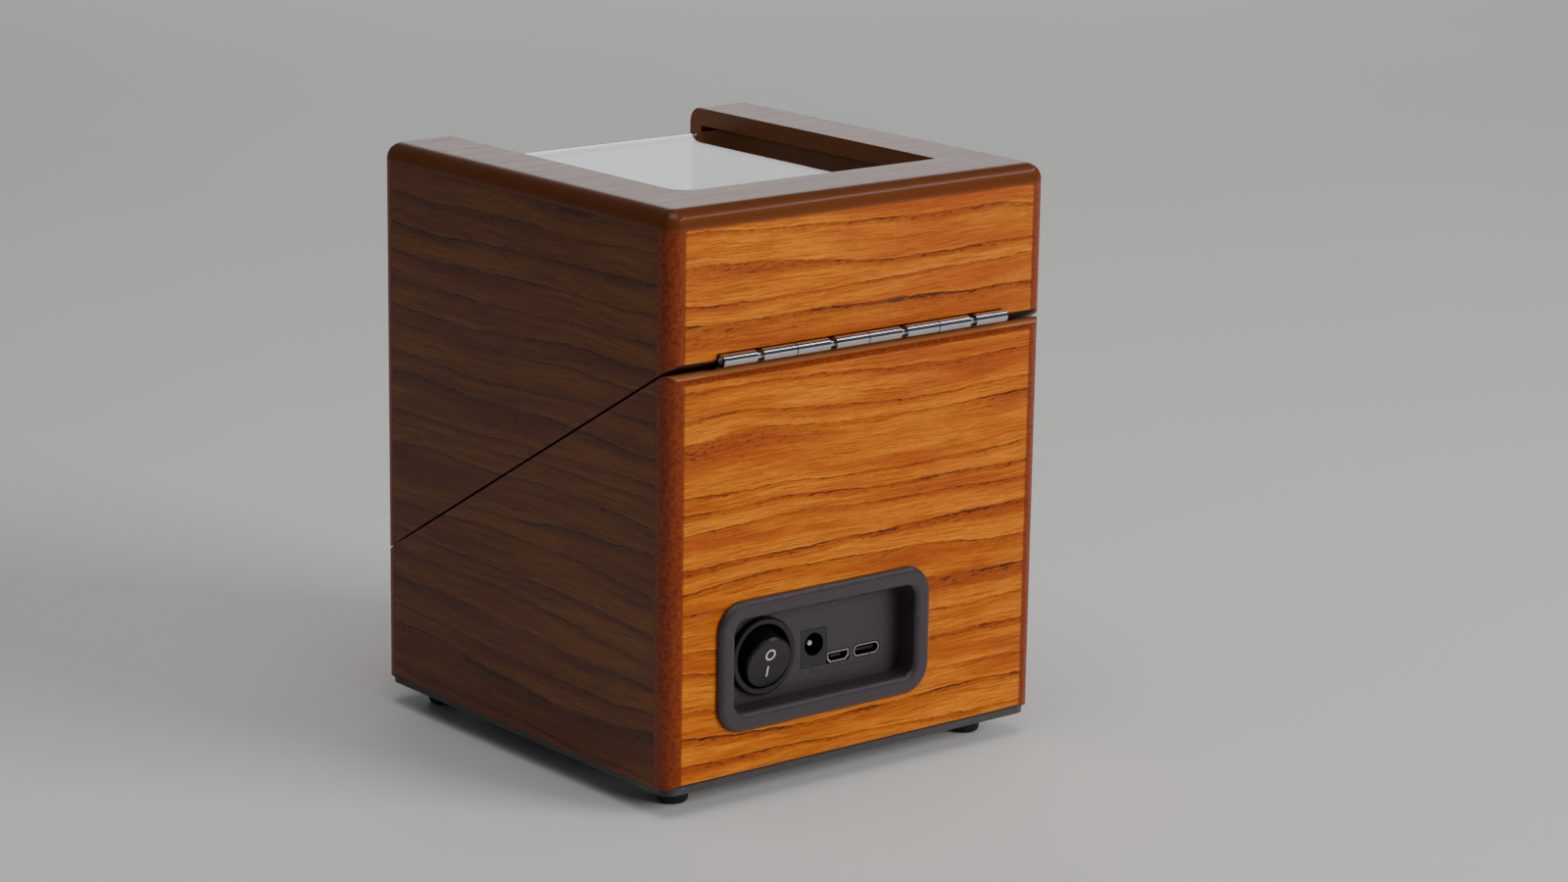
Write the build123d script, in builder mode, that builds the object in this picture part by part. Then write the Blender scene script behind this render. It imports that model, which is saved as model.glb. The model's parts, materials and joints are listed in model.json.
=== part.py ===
from build123d import *
from math import atan2, cos, degrees, radians, sin, sqrt, tan
import os

# Watch winder: a veneered wooden box cut on a slant into a base and a hinged lid
# +Z is up, the window faces -Y, the hinge and the control panel face +Y
# The origin is on the surface that the box stands on, below its centre

# Wooden box
case_w = 126.8
case_d = 129.0
wood_h = 150.5
wall_t = 10.0
front_t = 5.0
top_t = 5.0
corner_r = 4.5
top_edge_r = 4.5
foot_edge_r = 1.2
split_front = 35.4
split_rear = 110.6
split_gap = 0.6
split_rear_r = 2.2
split_front_r = 1.5

# Base board and feet
board_t = 2.0
board_inset = 1.0
foot_d = 9.0
foot_h = 6.3
foot_taper = 0.5
foot_edge = 1.3
foot_inset_x = 12.8
foot_inset_rear = 13.5
foot_inset_front = 10.2

# Window opening in the lid and its bent pane
opening_w = 86.0
rear_bar = 22.0
front_rail = 14.0
window_r_plus = 6.5
window_r_minus = 1.0
pane_t = 2.0
pane_bend_r = 9.5
pane_side_gap = 0.5
pane_rear_lap = 10.0
pane_foot_gap = 4.0

# Hinge
hinge_len = 95.5
hinge_out = 1.1
knuckle_n = 8
knuckle_r = 1.7
knuckle_gap = 0.3
knuckle_step = 2.2
knuckle_lap = 1.0
pin_r = 0.9
pin_fit = 0.05
leaf_w = 9.0
leaf_t = 0.8
leaf_part_gap = 0.3
leaf_clear = 0.3
hinge_notch = 0.35
hinge_pin_short = 0.6
hinge_screw_n = 4
hinge_screw_r = 0.9
hinge_screw_head_r = 1.7
hinge_screw_len = 6.0
hinge_screw_back = 0.5

# Magnets in the front edges and felt pads on the rim
magnet_r = 2.0
magnet_t = 2.0
pad_r = 2.5
pad_t = 0.4
pad_inset = 13.4

# Inner face panel, parallel to the split
panel_drop = 4.0
panel_t = 3.0
panel_fit = 0.3
hole_edge = 0.35
post_r = 3.5
post_side_gap = 1.1
post_drum_gap = 1.65
batten_w = 4.8
batten_t = 6.0
batten_end_gap = 7.5
batten_screw_edge = 12.0
ring_band = 3.75
ring_h = 2.4

# Drum and cushion
drum_gap = 1.25
drum_drop = 1.0
drum_plate_t = 2.5
drum_skirt_h = 11.0
drum_wall = 2.0
pocket_edge = 1.1
pocket_d = 55.6
pocket_r = 11.0
pocket_depth = 18.0
pocket_floor = 2.5
cushion_gap = 0.3
cushion_h = 50.0
cushion_edge_r = 13.5
hub_screw_edge = 5.8

# Spindle, bearings and belt drive
shaft_r = 3.0
bush_fit = 0.05
bush_r = 4.5
bush_len = 5.0
bush_flange_r = 6.0
bush_flange_t = 1.0
pulley_apart = 4.8
pulley_t = 5.0
pulley_hub_r = 8.0
pulley_hole_n = 6
pulley_hole_r = 3.5
groove_w = 3.0
groove_d = 2.2
belt_t = 1.6
belt_w = 2.2
belt_gap = 0.3
motor_pulley_r = 6.6
motor_wall_gap = 1.5
motor_shaft_r = 1.5
gearbox_r = 12.5
gearbox_t = 10.0
gearbox_bore_depth = 6.0
gear_screw_out = 9.5
motor_r = 10.0
motor_h = 14.0
motor_tail_r = 3.3
motor_tail_h = 1.0
motor_tag_x = 5.5
motor_tag_t = 0.6
motor_tag_w = 2.0
motor_tag_len = 3.0
motor_hole_r = 4.0
bridge_drop = 10.0
bridge_t = 3.0
bridge_edge = 1.5
bush_boss_r = 6.5
bush_boss_h = 10.5
thrust_gap = 0.2
clip_t = 0.8
clip_r = 5.0
clip_groove = 0.6
post_screw_depth = 7.0

# Control board under the bridge
pcb_edge = 6.0
pcb_w = 30.0
pcb_d = 48.0
pcb_r = 1.5
pcb_stand = 5.0
pcb_post_r = 2.5
pcb_hole_x = 12.0
pcb_hole_u = 20.0
chip_size = 7.0
chip_t = 1.6
chip_u = 4.0
header_size = 5.0
header_h = 4.0
header_x = 6.0
header_u = -13.0
cap_r = 2.5
cap_h = 6.0
cap_x = 8.0
cap_u = 6.0

# Mode switches and knobs
mode_side_gap = 0.7
mode_rear_gap = 2.4
mode_body = 11.0
mode_body_h = 7.0
mode_neck_r = 3.5
mode_neck_out = 1.5
mode_floor = 1.5
mode_end_gap = 0.3
mode_spindle_r = 2.5
mode_fit = 0.08
mode_hole_gap = 0.15
knob_r = 6.0
knob_h = 9.0
knob_gap = 0.6
knob_edge = 1.0
knob_rib_n = 18
knob_rib_r = 0.5
knob_mark_w = 1.0
knob_mark_d = 0.5

# Control panel in the rear face, seen from behind its left side is +X
io_x = 11.6
io_z = 29.5
io_w = 71.2
io_h = 35.2
io_r = 8.0
io_rim = 5.2
io_rim_h = 2.0
io_inner_r = 3.5
io_depth = 5.0
io_wall = 2.0
io_fit = 0.3

# Rocker switch
rocker_off_x = 17.3
rocker_off_z = -0.1
ring_out_r = 10.45
ring_proud = 2.0
switch_r = 9.8
switch_fit = 0.1
switch_mouth_r = 8.5
switch_bore_r = 8.9
switch_lip = 1.2
switch_len = 15.0
switch_floor = 2.0
rocker_pivot_depth = 3.0
rocker_face_r = 7.3
rocker_ball_r = 8.5
rocker_face_out = 5.0
rocker_back = 3.0
rocker_tilt = 15.0
rocker_pin_r = 1.0
rocker_pin_len = 9.3
rocker_pin_fit = 0.06
terminal_x = 4.8
terminal_w = 4.8
terminal_t = 0.8
terminal_len = 8.0

# Power sockets on the small horizontal board
socket_off_z = -6.4
dc_off_x = -0.9
dc_w = 8.6
dc_h = 10.2
dc_len = 14.0
dc_hole_r = 3.15
dc_hole_z = 6.0
dc_hole_len = 10.0
dc_pin_r = 1.0
dc_pin_short = 1.5
dc_fit = 0.1
micro_off_x = -9.2
micro_w = 7.3
micro_h = 2.85
micro_len = 6.0
micro_cut = 0.9
micro_tongue_w = 3.7
usb_off_x = -19.0
usb_w = 8.8
usb_h = 3.2
usb_len = 7.3
usb_tongue_w = 6.7
shell_t = 0.35
shell_back = 0.6
tongue_t = 0.7
tongue_short = 1.0
socket_fit = 0.25
power_board_w = 31.0
power_board_d = 18.0
power_board_off_x = -9.1
power_screw_edge = 3.2
pcb_t = 1.6
rib_w = 5.0
rib_h = 3.0

# Battery box, screwed to the underside
tray_y = 12.0
tray_w = 70.2
tray_d = 57.5
tray_r = 4.5
tray_t = 2.0
door_w = 58.7
door_d = 34.9
door_r = 3.0
door_gap = 0.25
cell_w = 56.0
cell_d = 31.0
cell_h = 15.5
tray_wall = 1.6
tray_fit = 0.3
latch_w = 16.2
latch_d = 9.9
latch_pocket_h = 9.0
latch_arm_w = 10.0
latch_arm_t = 1.2
latch_reach = 3.6
latch_swing_r = 0.6
latch_rise = 6.0
latch_lift = 0.7
door_sink = 0.1
tab_w = 8.0
tab_reach = 1.6
tab_root = 2.3
tab_gap = 0.1
tab_clear = 1.0
tab_x = 18.0
slot_h = 2.6
slot_clear = 0.3
contact_t = 0.4
contact_w = 10.0
contact_wide = 25.0
contact_h = 12.0
contact_lift = 1.5
button_r = 3.0
button_h = 1.2
tray_screw_x = 23.8
tray_screw_y = 24.9
tray_screw_r = 1.1
tray_screw_head_r = 2.4
tray_screw_sink_r = 2.7
tray_screw_sink = 1.3
tray_screw_len = 7.0
tray_head_in = 0.1

# Small screws
screw_r = 1.1
screw_head_r = 2.2
screw_head_h = 1.4
cross_w = 0.6
cross_share = 1.3

# Places worked out from the sizes above
wood_z = foot_h + board_t
split_angle = degrees(atan2(split_rear - split_front, case_d))
lean = radians(split_angle)
split_mid_z = wood_z + (split_front + split_rear) / 2
top_z = wood_z + wood_h
inner_w = case_w - 2 * wall_t
inner_d = case_d - 2 * wall_t
rear_y = case_d / 2
front_y = -case_d / 2
deck = Plane(origin=(0, 0, split_mid_z), x_dir=(1, 0, 0), z_dir=(0, -sin(lean), cos(lean)))
panel_top = -panel_drop
panel_low = panel_top - panel_t
drum_top = -drum_drop
pocket_low = drum_top - pocket_depth
drum_low = pocket_low - pocket_floor
pulley_top = drum_low
pulley_low = pulley_top - pulley_t
bridge_top = drum_low - bridge_drop
bridge_low = bridge_top - bridge_t
pulley_hub_low = bridge_top + bush_flange_t + thrust_gap
floor_y = rear_y - io_depth
rocker_x = io_x + rocker_off_x
rocker_z = io_z + rocker_off_z
dc_x = io_x + dc_off_x
micro_x = io_x + micro_off_x
usb_x = io_x + usb_off_x
power_board_x = io_x + power_board_off_x
socket_z = wood_z + io_z + socket_off_z
hinge_u = (rear_y + hinge_out) / cos(lean)
pivot_y = floor_y + ring_proud - rocker_pivot_depth
knuckle_len = (
    hinge_len - knuckle_n / 2 * knuckle_step - (knuckle_n / 2 - 1) * knuckle_gap
) / knuckle_n


def rear_reach(height):
    """Distance up the slant to the inside of the rear wall, at a height over the split."""
    return (inner_d / 2 + height * sin(lean)) / cos(lean)


# The ring and the drum fill the width between the battens
panel_hole_r = inner_w / 2 - batten_w - hole_edge
ring_r = panel_hole_r + ring_band
drum_r = panel_hole_r - drum_gap
pocket_corner_at = drum_r - pocket_edge - drum_wall - pocket_r
pocket_w = 2 * (sqrt(pocket_corner_at**2 - (pocket_d / 2 - pocket_r) ** 2) + pocket_r)
batten_len = 2 * (rear_reach(panel_low - batten_t) - batten_end_gap)
panel_screw_u = batten_len / 2 - batten_screw_edge
# The posts stand beside the battens and clear of the drum, and the bridge joins their ends
post_x = inner_w / 2 - batten_w - post_side_gap - post_r
post_u = sqrt((drum_r + post_drum_gap + post_r) ** 2 - post_x**2)
bridge_w = 2 * (post_x + post_r + bridge_edge)
bridge_d = 2 * (post_u + post_r + bridge_edge)
motor_x = gearbox_r + motor_wall_gap - inner_w / 2
pulley_r = -motor_x - motor_pulley_r - pulley_apart
groove_r = pulley_r - groove_d
hub_screw_r = groove_r - hub_screw_edge
pulley_hole_at = (pulley_hub_r + groove_r) / 2
pcb_x = bridge_w / 2 - pcb_edge - pcb_w / 2
mode_x = inner_w / 2 - batten_w - mode_side_gap - mode_body / 2
mode_u = rear_reach(panel_low - mode_body_h) - mode_rear_gap - mode_body / 2
pad_x = case_w / 2 - pad_inset


def facing(plane_y, x=0.0, z=0.0):
    """A plane that faces the rear, seen from behind, with Z up."""
    return Plane(origin=(x, plane_y, z), x_dir=(-1, 0, 0), z_dir=(0, 1, 0))


def discs(plane, points, radius, height, mode=Mode.ADD):
    """Round bars or holes of one size on a plane."""
    with BuildSketch(plane) as outline:
        with Locations(*points):
            Circle(radius)
    extrude(outline.sketch, amount=height, mode=mode)


def slabs(plane, points, width, depth, height, mode=Mode.ADD):
    """Rectangular blocks or holes of one size on a plane."""
    with BuildSketch(plane) as outline:
        with Locations(*points):
            Rectangle(width, depth)
    extrude(outline.sketch, amount=height, mode=mode)


def cross_slots(plane, points, head_r, depth):
    """Cross recesses cut into screw heads, from the plane to the given depth."""
    slabs(plane, points, cross_share * head_r, cross_w, depth, Mode.SUBTRACT)
    slabs(plane, points, cross_w, cross_share * head_r, depth, Mode.SUBTRACT)


def side_outline(low_front, low_rear, high, radii):
    """Side view of a wooden box: Y across, Z up, with its four corners rounded."""
    with BuildSketch(Plane.YZ.offset(-case_w / 2)) as outline:
        with BuildLine():
            Polyline(
                (front_y, low_front),
                (rear_y, low_rear),
                (rear_y, high[1]),
                (front_y, high[0]),
                close=True,
            )
        make_face()
        for (y, z), radius in radii:
            fillet(outline.vertices().sort_by_distance((y, z, 0))[0], radius)
    return outline.sketch


# Lower wooden box
base_front_z = wood_z + split_front - split_gap / 2 / cos(lean)
base_rear_z = wood_z + split_rear - split_gap / 2 / cos(lean)
base_side = side_outline(
    wood_z,
    wood_z,
    (base_front_z, base_rear_z),
    [
        ((front_y, wood_z), foot_edge_r),
        ((rear_y, wood_z), foot_edge_r),
        ((rear_y, base_rear_z), split_rear_r),
        ((front_y, base_front_z), split_front_r),
    ],
)
knuckle_groove_r = knuckle_r + hinge_notch
leaf_rebate = leaf_part_gap / 2 + leaf_t
hinge_plane = Plane.YZ.offset(-hinge_len / 2 - hinge_notch)
hinge_y = rear_y + hinge_out
hinge_z = split_mid_z + hinge_y * tan(lean)
hinge_screw_pitch = hinge_len / hinge_screw_n
leaf_mid_u = hinge_u - leaf_w / 2 - knuckle_r
screw_row = [
    ((i - (hinge_screw_n - 1) / 2) * hinge_screw_pitch, leaf_mid_u - hinge_screw_back)
    for i in range(hinge_screw_n)
]
magnet_u = (front_y + front_t / 2) / cos(lean)

with BuildPart() as case_base:
    with BuildSketch(Plane.XY.offset(wood_z)):
        RectangleRounded(case_w, case_d, corner_r)
    extrude(amount=wood_h)
    extrude(base_side, amount=case_w, mode=Mode.INTERSECT)
    with BuildSketch(Plane.XY.offset(wood_z)):
        Rectangle(inner_w, inner_d)
    extrude(amount=wood_h, mode=Mode.SUBTRACT)
    # Opening for the control panel in the rear wall
    with BuildSketch(facing(rear_y - wall_t, io_x, wood_z + io_z)):
        RectangleRounded(
            io_w - 2 * io_rim + 2 * io_wall + 2 * io_fit,
            io_h - 2 * io_rim + 2 * io_wall + 2 * io_fit,
            io_inner_r + io_wall,
        )
    extrude(amount=wall_t, mode=Mode.SUBTRACT)
    # Groove for the hinge knuckles and rebate for the lower leaf
    with BuildSketch(hinge_plane):
        with Locations((hinge_y, hinge_z)):
            Circle(knuckle_groove_r)
    extrude(amount=hinge_len + 2 * hinge_notch, mode=Mode.SUBTRACT)
    slabs(
        deck,
        [(0, hinge_u - (leaf_w + knuckle_r) / 2)],
        hinge_len + 2 * hinge_notch,
        leaf_w + knuckle_r,
        -leaf_rebate,
        Mode.SUBTRACT,
    )
    discs(deck, screw_row, hinge_screw_r, -leaf_rebate - hinge_screw_len, Mode.SUBTRACT)
    discs(deck.offset(-split_gap / 2), [(0, magnet_u)], magnet_r, -magnet_t, Mode.SUBTRACT)
case_base.part.label = "case_base"

# Battens that carry the inner panel
batten_x = inner_w / 2 - batten_w / 2
panel_screws_at = [(x, u) for x in (-batten_x, batten_x) for u in (-panel_screw_u, panel_screw_u)]
with BuildPart() as panel_battens:
    slabs(
        deck.offset(panel_low),
        [(-batten_x, 0), (batten_x, 0)],
        batten_w,
        batten_len,
        -batten_t,
    )
    discs(deck.offset(panel_low), panel_screws_at, screw_r, -batten_t, Mode.SUBTRACT)
panel_battens.part.label = "panel_battens"

# Upper wooden box with the U-shaped window opening
lid_front_z = wood_z + split_front + split_gap / 2 / cos(lean)
lid_rear_z = wood_z + split_rear + split_gap / 2 / cos(lean)
lid_side = side_outline(
    lid_front_z,
    lid_rear_z,
    (top_z, top_z),
    [
        ((front_y, lid_front_z), split_front_r),
        ((rear_y, lid_rear_z), split_rear_r),
    ],
)
opening_rear_y = rear_y - rear_bar
rail_top_z = lid_front_z + front_rail
with BuildPart() as lid_shell:
    with BuildSketch(Plane.XY.offset(wood_z)):
        RectangleRounded(case_w, case_d, corner_r)
    extrude(amount=wood_h)
    fillet(lid_shell.faces().sort_by(Axis.Z)[-1].edges(), top_edge_r)
    extrude(lid_side, amount=case_w, mode=Mode.INTERSECT)
    # Inside: side and rear walls, a thin front and a thin top
    with BuildSketch(Plane.XY.offset(wood_z)):
        with Locations((0, (front_t - wall_t) / 2)):
            Rectangle(inner_w, case_d - wall_t - front_t)
    extrude(amount=wood_h - top_t, mode=Mode.SUBTRACT)
    # Opening through the top, with its two rear corners rounded
    with BuildSketch(Plane.XY.offset(top_z - 2 * top_t)) as window_top:
        with Locations((0, (opening_rear_y + front_y) / 2)):
            Rectangle(opening_w, opening_rear_y - front_y)
        rear_corners = window_top.vertices().group_by(Axis.Y)[-1].sort_by(Axis.X)
        fillet(rear_corners[1], window_r_plus)
        fillet(window_top.vertices().group_by(Axis.Y)[-1].sort_by(Axis.X)[0], window_r_minus)
    extrude(amount=3 * top_t, mode=Mode.SUBTRACT)
    # Opening through the front, down to the rail
    with BuildSketch(Plane.XZ.offset(-front_y - 2 * front_t)):
        with Locations((0, (rail_top_z + top_z) / 2)):
            Rectangle(opening_w, top_z - rail_top_z)
    extrude(amount=3 * front_t, mode=Mode.SUBTRACT)
    # Groove for the hinge knuckles and rebate for the upper leaf
    with BuildSketch(hinge_plane):
        with Locations((hinge_y, hinge_z)):
            Circle(knuckle_groove_r)
    extrude(amount=hinge_len + 2 * hinge_notch, mode=Mode.SUBTRACT)
    slabs(
        deck,
        [(0, hinge_u - (leaf_w + knuckle_r) / 2)],
        hinge_len + 2 * hinge_notch,
        leaf_w + knuckle_r,
        leaf_rebate,
        Mode.SUBTRACT,
    )
    discs(deck, screw_row, hinge_screw_r, leaf_rebate + hinge_screw_len, Mode.SUBTRACT)
    discs(deck.offset(split_gap / 2), [(0, magnet_u)], magnet_r, magnet_t, Mode.SUBTRACT)
lid_shell.part.label = "lid_shell"

# Bent clear pane, glued to the inside of the lid's top and front
pane_top_z = top_z - top_t
pane_front_y = front_y + front_t
pane_rear_y = opening_rear_y + pane_rear_lap
pane_low_z = lid_front_z + (pane_front_y - front_y) * tan(lean) + pane_foot_gap
with BuildPart() as window:
    with BuildSketch(Plane.YZ.offset(-inner_w / 2 + pane_side_gap)):
        with BuildLine():
            FilletPolyline(
                (pane_rear_y, pane_top_z),
                (pane_front_y, pane_top_z),
                (pane_front_y, pane_low_z),
                radius=pane_bend_r,
            )
            Line((pane_front_y, pane_low_z), (pane_front_y + pane_t, pane_low_z))
            FilletPolyline(
                (pane_front_y + pane_t, pane_low_z),
                (pane_front_y + pane_t, pane_top_z - pane_t),
                (pane_rear_y, pane_top_z - pane_t),
                radius=pane_bend_r - pane_t,
            )
            Line((pane_rear_y, pane_top_z - pane_t), (pane_rear_y, pane_top_z))
        make_face()
    extrude(amount=inner_w - 2 * pane_side_gap)
window.part.label = "window"

# Flocked base board with the cut-out for the battery box
tray_box_w = door_w + 2 * door_gap + 2 * tray_wall
tray_box_d = door_d + 2 * door_gap + 2 * tray_wall
pocket_out = door_d / 2 + door_gap + latch_d + tray_wall
pocket_box_w = latch_w + 2 * tray_wall
with BuildPart() as base_board:
    with BuildSketch(Plane.XY.offset(foot_h)):
        RectangleRounded(
            case_w - 2 * board_inset, case_d - 2 * board_inset, corner_r - board_inset
        )
        with Locations((0, tray_y)):
            Rectangle(tray_box_w + 2 * tray_fit, tray_box_d + 2 * tray_fit, mode=Mode.SUBTRACT)
        with Locations((0, tray_y - pocket_out / 2)):
            Rectangle(pocket_box_w + 2 * tray_fit, pocket_out + 2 * tray_fit, mode=Mode.SUBTRACT)
        with Locations((0, tray_y)):
            with GridLocations(2 * tray_screw_x, 2 * tray_screw_y, 2, 2):
                Circle(tray_screw_r, mode=Mode.SUBTRACT)
    extrude(amount=board_t)
base_board.part.label = "base_board"

# Rubber feet
foot_places = {
    "foot_front_left": (-case_w / 2 + foot_inset_x, front_y + foot_inset_front),
    "foot_front_right": (case_w / 2 - foot_inset_x, front_y + foot_inset_front),
    "foot_rear_left": (-case_w / 2 + foot_inset_x, rear_y - foot_inset_rear),
    "foot_rear_right": (case_w / 2 - foot_inset_x, rear_y - foot_inset_rear),
}
feet = {}
for foot_name, (foot_x, foot_y) in foot_places.items():
    with BuildPart() as foot:
        with BuildSketch(Plane.XY.offset(foot_h)):
            with Locations((foot_x, foot_y)):
                Circle(foot_d / 2)
        with BuildSketch(Plane.XY):
            with Locations((foot_x, foot_y)):
                Circle(foot_d / 2 - foot_taper)
        loft()
        fillet(foot.faces().sort_by(Axis.Z)[0].edges(), foot_edge)
    foot.part.label = foot_name
    feet[foot_name] = foot.part

# Hinge: leaves lie in the split, knuckles wrap the pin behind the rear face
sink_angle = degrees(atan2(hinge_screw_head_r - hinge_screw_r, leaf_t))
knuckle_spans = []
cursor = -hinge_len / 2
for i in range(knuckle_n):
    knuckle_spans.append((cursor, cursor + knuckle_len))
    cursor += knuckle_len + (knuckle_step if i % 2 == 0 else knuckle_gap)


def hinge_leaf(first, side):
    """One leaf with every other knuckle; side is +1 for the lid and -1 for the base."""
    own = knuckle_spans[first::2]
    other = knuckle_spans[1 - first :: 2]
    face = deck.offset(side * leaf_part_gap / 2)
    leaf_root_u = hinge_u - knuckle_r
    slabs(face, [(0, leaf_root_u - leaf_w / 2)], hinge_len, leaf_w, side * leaf_t)
    for start, end in own:
        middle = (start + end) / 2
        slabs(face, [(middle, hinge_u - knuckle_r / 2)], end - start, knuckle_r + knuckle_lap, side * leaf_t)
        with BuildSketch(Plane.YZ.offset(start)) as barrel:
            with Locations((hinge_y, hinge_z)):
                Circle(knuckle_r)
        extrude(barrel.sketch, amount=end - start)
    for start, end in other:
        with BuildSketch(Plane.YZ.offset(start - leaf_clear)) as relief:
            with Locations((hinge_y, hinge_z)):
                Circle(knuckle_r + leaf_clear)
        extrude(relief.sketch, amount=end - start + 2 * leaf_clear, mode=Mode.SUBTRACT)
    with BuildSketch(Plane.YZ.offset(-hinge_len / 2)) as pin_bore:
        with Locations((hinge_y, hinge_z)):
            Circle(pin_r + pin_fit)
    extrude(pin_bore.sketch, amount=hinge_len, mode=Mode.SUBTRACT)
    discs(face, screw_row, hinge_screw_r, side * leaf_t, Mode.SUBTRACT)
    with BuildSketch(face) as sink:
        with Locations(*screw_row):
            Circle(hinge_screw_head_r)
    extrude(sink.sketch, amount=side * leaf_t, taper=sink_angle, mode=Mode.SUBTRACT)


with BuildPart() as hinge_leaf_upper:
    hinge_leaf(0, 1)
hinge_leaf_upper.part.label = "hinge_leaf_upper"

with BuildPart() as hinge_leaf_lower:
    hinge_leaf(1, -1)
hinge_leaf_lower.part.label = "hinge_leaf_lower"

with BuildPart() as hinge_pin:
    with BuildSketch(Plane.YZ.offset(-hinge_len / 2 + hinge_pin_short)):
        with Locations((hinge_y, hinge_z)):
            Circle(pin_r)
    extrude(amount=hinge_len - 2 * hinge_pin_short)
hinge_pin.part.label = "hinge_pin"


def hinge_screws(side):
    """Countersunk screws of one leaf, with heads in the leaf."""
    face = deck.offset(side * leaf_part_gap / 2)
    with BuildSketch(face) as heads:
        with Locations(*screw_row):
            Circle(hinge_screw_head_r)
    extrude(heads.sketch, amount=side * leaf_t, taper=sink_angle)
    discs(face, screw_row, hinge_screw_r, side * (leaf_t + hinge_screw_len))
    cross_slots(face, screw_row, hinge_screw_head_r, side * leaf_t / 2)


with BuildPart() as hinge_screws_upper:
    hinge_screws(1)
hinge_screws_upper.part.label = "hinge_screws_upper"

with BuildPart() as hinge_screws_lower:
    hinge_screws(-1)
hinge_screws_lower.part.label = "hinge_screws_lower"

# Magnets in the front edge and felt pads on the rim
with BuildPart() as rim_magnet:
    discs(deck.offset(-split_gap / 2), [(0, magnet_u)], magnet_r, -magnet_t)
rim_magnet.part.label = "rim_magnet"

with BuildPart() as lid_magnet:
    discs(deck.offset(split_gap / 2), [(0, magnet_u)], magnet_r, magnet_t)
lid_magnet.part.label = "lid_magnet"

rim_mid_u = (front_y + wall_t / 2) / cos(lean)
with BuildPart() as rim_pads:
    discs(deck.offset(-split_gap / 2), [(-pad_x, rim_mid_u), (pad_x, rim_mid_u)], pad_r, pad_t)
rim_pads.part.label = "rim_pads"

# Inner face panel with the four posts that carry the drive
posts = [(x, u) for x in (-post_x, post_x) for u in (-post_u, post_u)]
mode_places = [(-mode_x, mode_u), (mode_x, mode_u)]
with BuildPart() as face_panel:
    slabs(deck.offset(panel_low), [(0, 0)], case_w, 2 * case_d, panel_t)
    with BuildSketch(Plane.XY):
        Rectangle(inner_w - 2 * panel_fit, inner_d - 2 * panel_fit)
    extrude(amount=2 * wood_h, mode=Mode.INTERSECT)
    discs(deck.offset(panel_low), [(0, 0)], panel_hole_r, panel_t, Mode.SUBTRACT)
    discs(deck.offset(panel_low), mode_places, mode_neck_r + mode_hole_gap, panel_t, Mode.SUBTRACT)
    discs(deck.offset(panel_low), panel_screws_at, screw_r, panel_t, Mode.SUBTRACT)
    discs(deck.offset(panel_low), posts, post_r, bridge_top - panel_low)
    discs(deck.offset(bridge_top), posts, screw_r, post_screw_depth, Mode.SUBTRACT)
face_panel.part.label = "face_panel"

with BuildPart() as trim_ring:
    with BuildSketch(deck.offset(panel_top)):
        Circle(ring_r)
        Circle(panel_hole_r, mode=Mode.SUBTRACT)
    extrude(amount=ring_h)
    top_edges = trim_ring.edges().filter_by(GeomType.CIRCLE).sort_by(
        lambda edge: deck.to_local_coords(edge).center().Z
    )[-2:]
    fillet(top_edges, ring_h / 3)
trim_ring.part.label = "trim_ring"

with BuildPart() as panel_screws:
    discs(deck.offset(panel_top), panel_screws_at, screw_head_r, screw_head_h)
    discs(deck.offset(panel_top), panel_screws_at, screw_r, -panel_t - batten_t)
    cross_slots(
        deck.offset(panel_top + screw_head_h), panel_screws_at, screw_head_r, -screw_head_h / 2
    )
panel_screws.part.label = "panel_screws"

# Drum: a cup that turns in the panel's hole and holds the cushion
hub_screws_at = [
    (hub_screw_r * cos(radians(angle)), hub_screw_r * sin(radians(angle)))
    for angle in (90, 210, 330)
]
with BuildPart() as drum_cup:
    discs(deck.offset(drum_top), [(0, 0)], drum_r, -drum_plate_t)
    with BuildSketch(deck.offset(drum_top)):
        Circle(drum_r)
        Circle(drum_r - drum_wall, mode=Mode.SUBTRACT)
    extrude(amount=-drum_skirt_h)
    with BuildSketch(deck.offset(drum_top)):
        RectangleRounded(pocket_w + 2 * drum_wall, pocket_d + 2 * drum_wall, pocket_r + drum_wall)
    extrude(amount=drum_low - drum_top)
    with BuildSketch(deck.offset(drum_top)):
        RectangleRounded(pocket_w, pocket_d, pocket_r)
    extrude(amount=-pocket_depth, mode=Mode.SUBTRACT)
    discs(deck.offset(drum_low), [(0, 0)], shaft_r, pocket_floor / 2, Mode.SUBTRACT)
    discs(deck.offset(drum_low), hub_screws_at, screw_r, pocket_floor, Mode.SUBTRACT)
drum_cup.part.label = "drum_cup"

# Cushion: crowned all round, with its ends drawn in
cushion_w = pocket_w - 2 * cushion_gap
cushion_d = pocket_d - 2 * cushion_gap
cushion_low = pocket_low + cushion_gap
cushion_mid = cushion_low + cushion_h / 2
cushion_ends = [(0.0, 0.68), (0.05, 0.87), (0.16, 0.97)]
cushion_sections = cushion_ends + [(0.5, 1.0)] + [(1 - a, b) for a, b in reversed(cushion_ends)]
with BuildPart() as watch_pillow:
    for share, size in cushion_sections:
        cushion_plane = Plane(
            origin=deck.from_local_coords((cushion_w * (share - 0.5), 0, cushion_mid)),
            x_dir=deck.y_dir,
            z_dir=(1, 0, 0),
        )
        with BuildSketch(cushion_plane):
            RectangleRounded(cushion_d * size, cushion_h * size, cushion_edge_r * size)
    loft()
watch_pillow.part.label = "watch_pillow"

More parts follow.
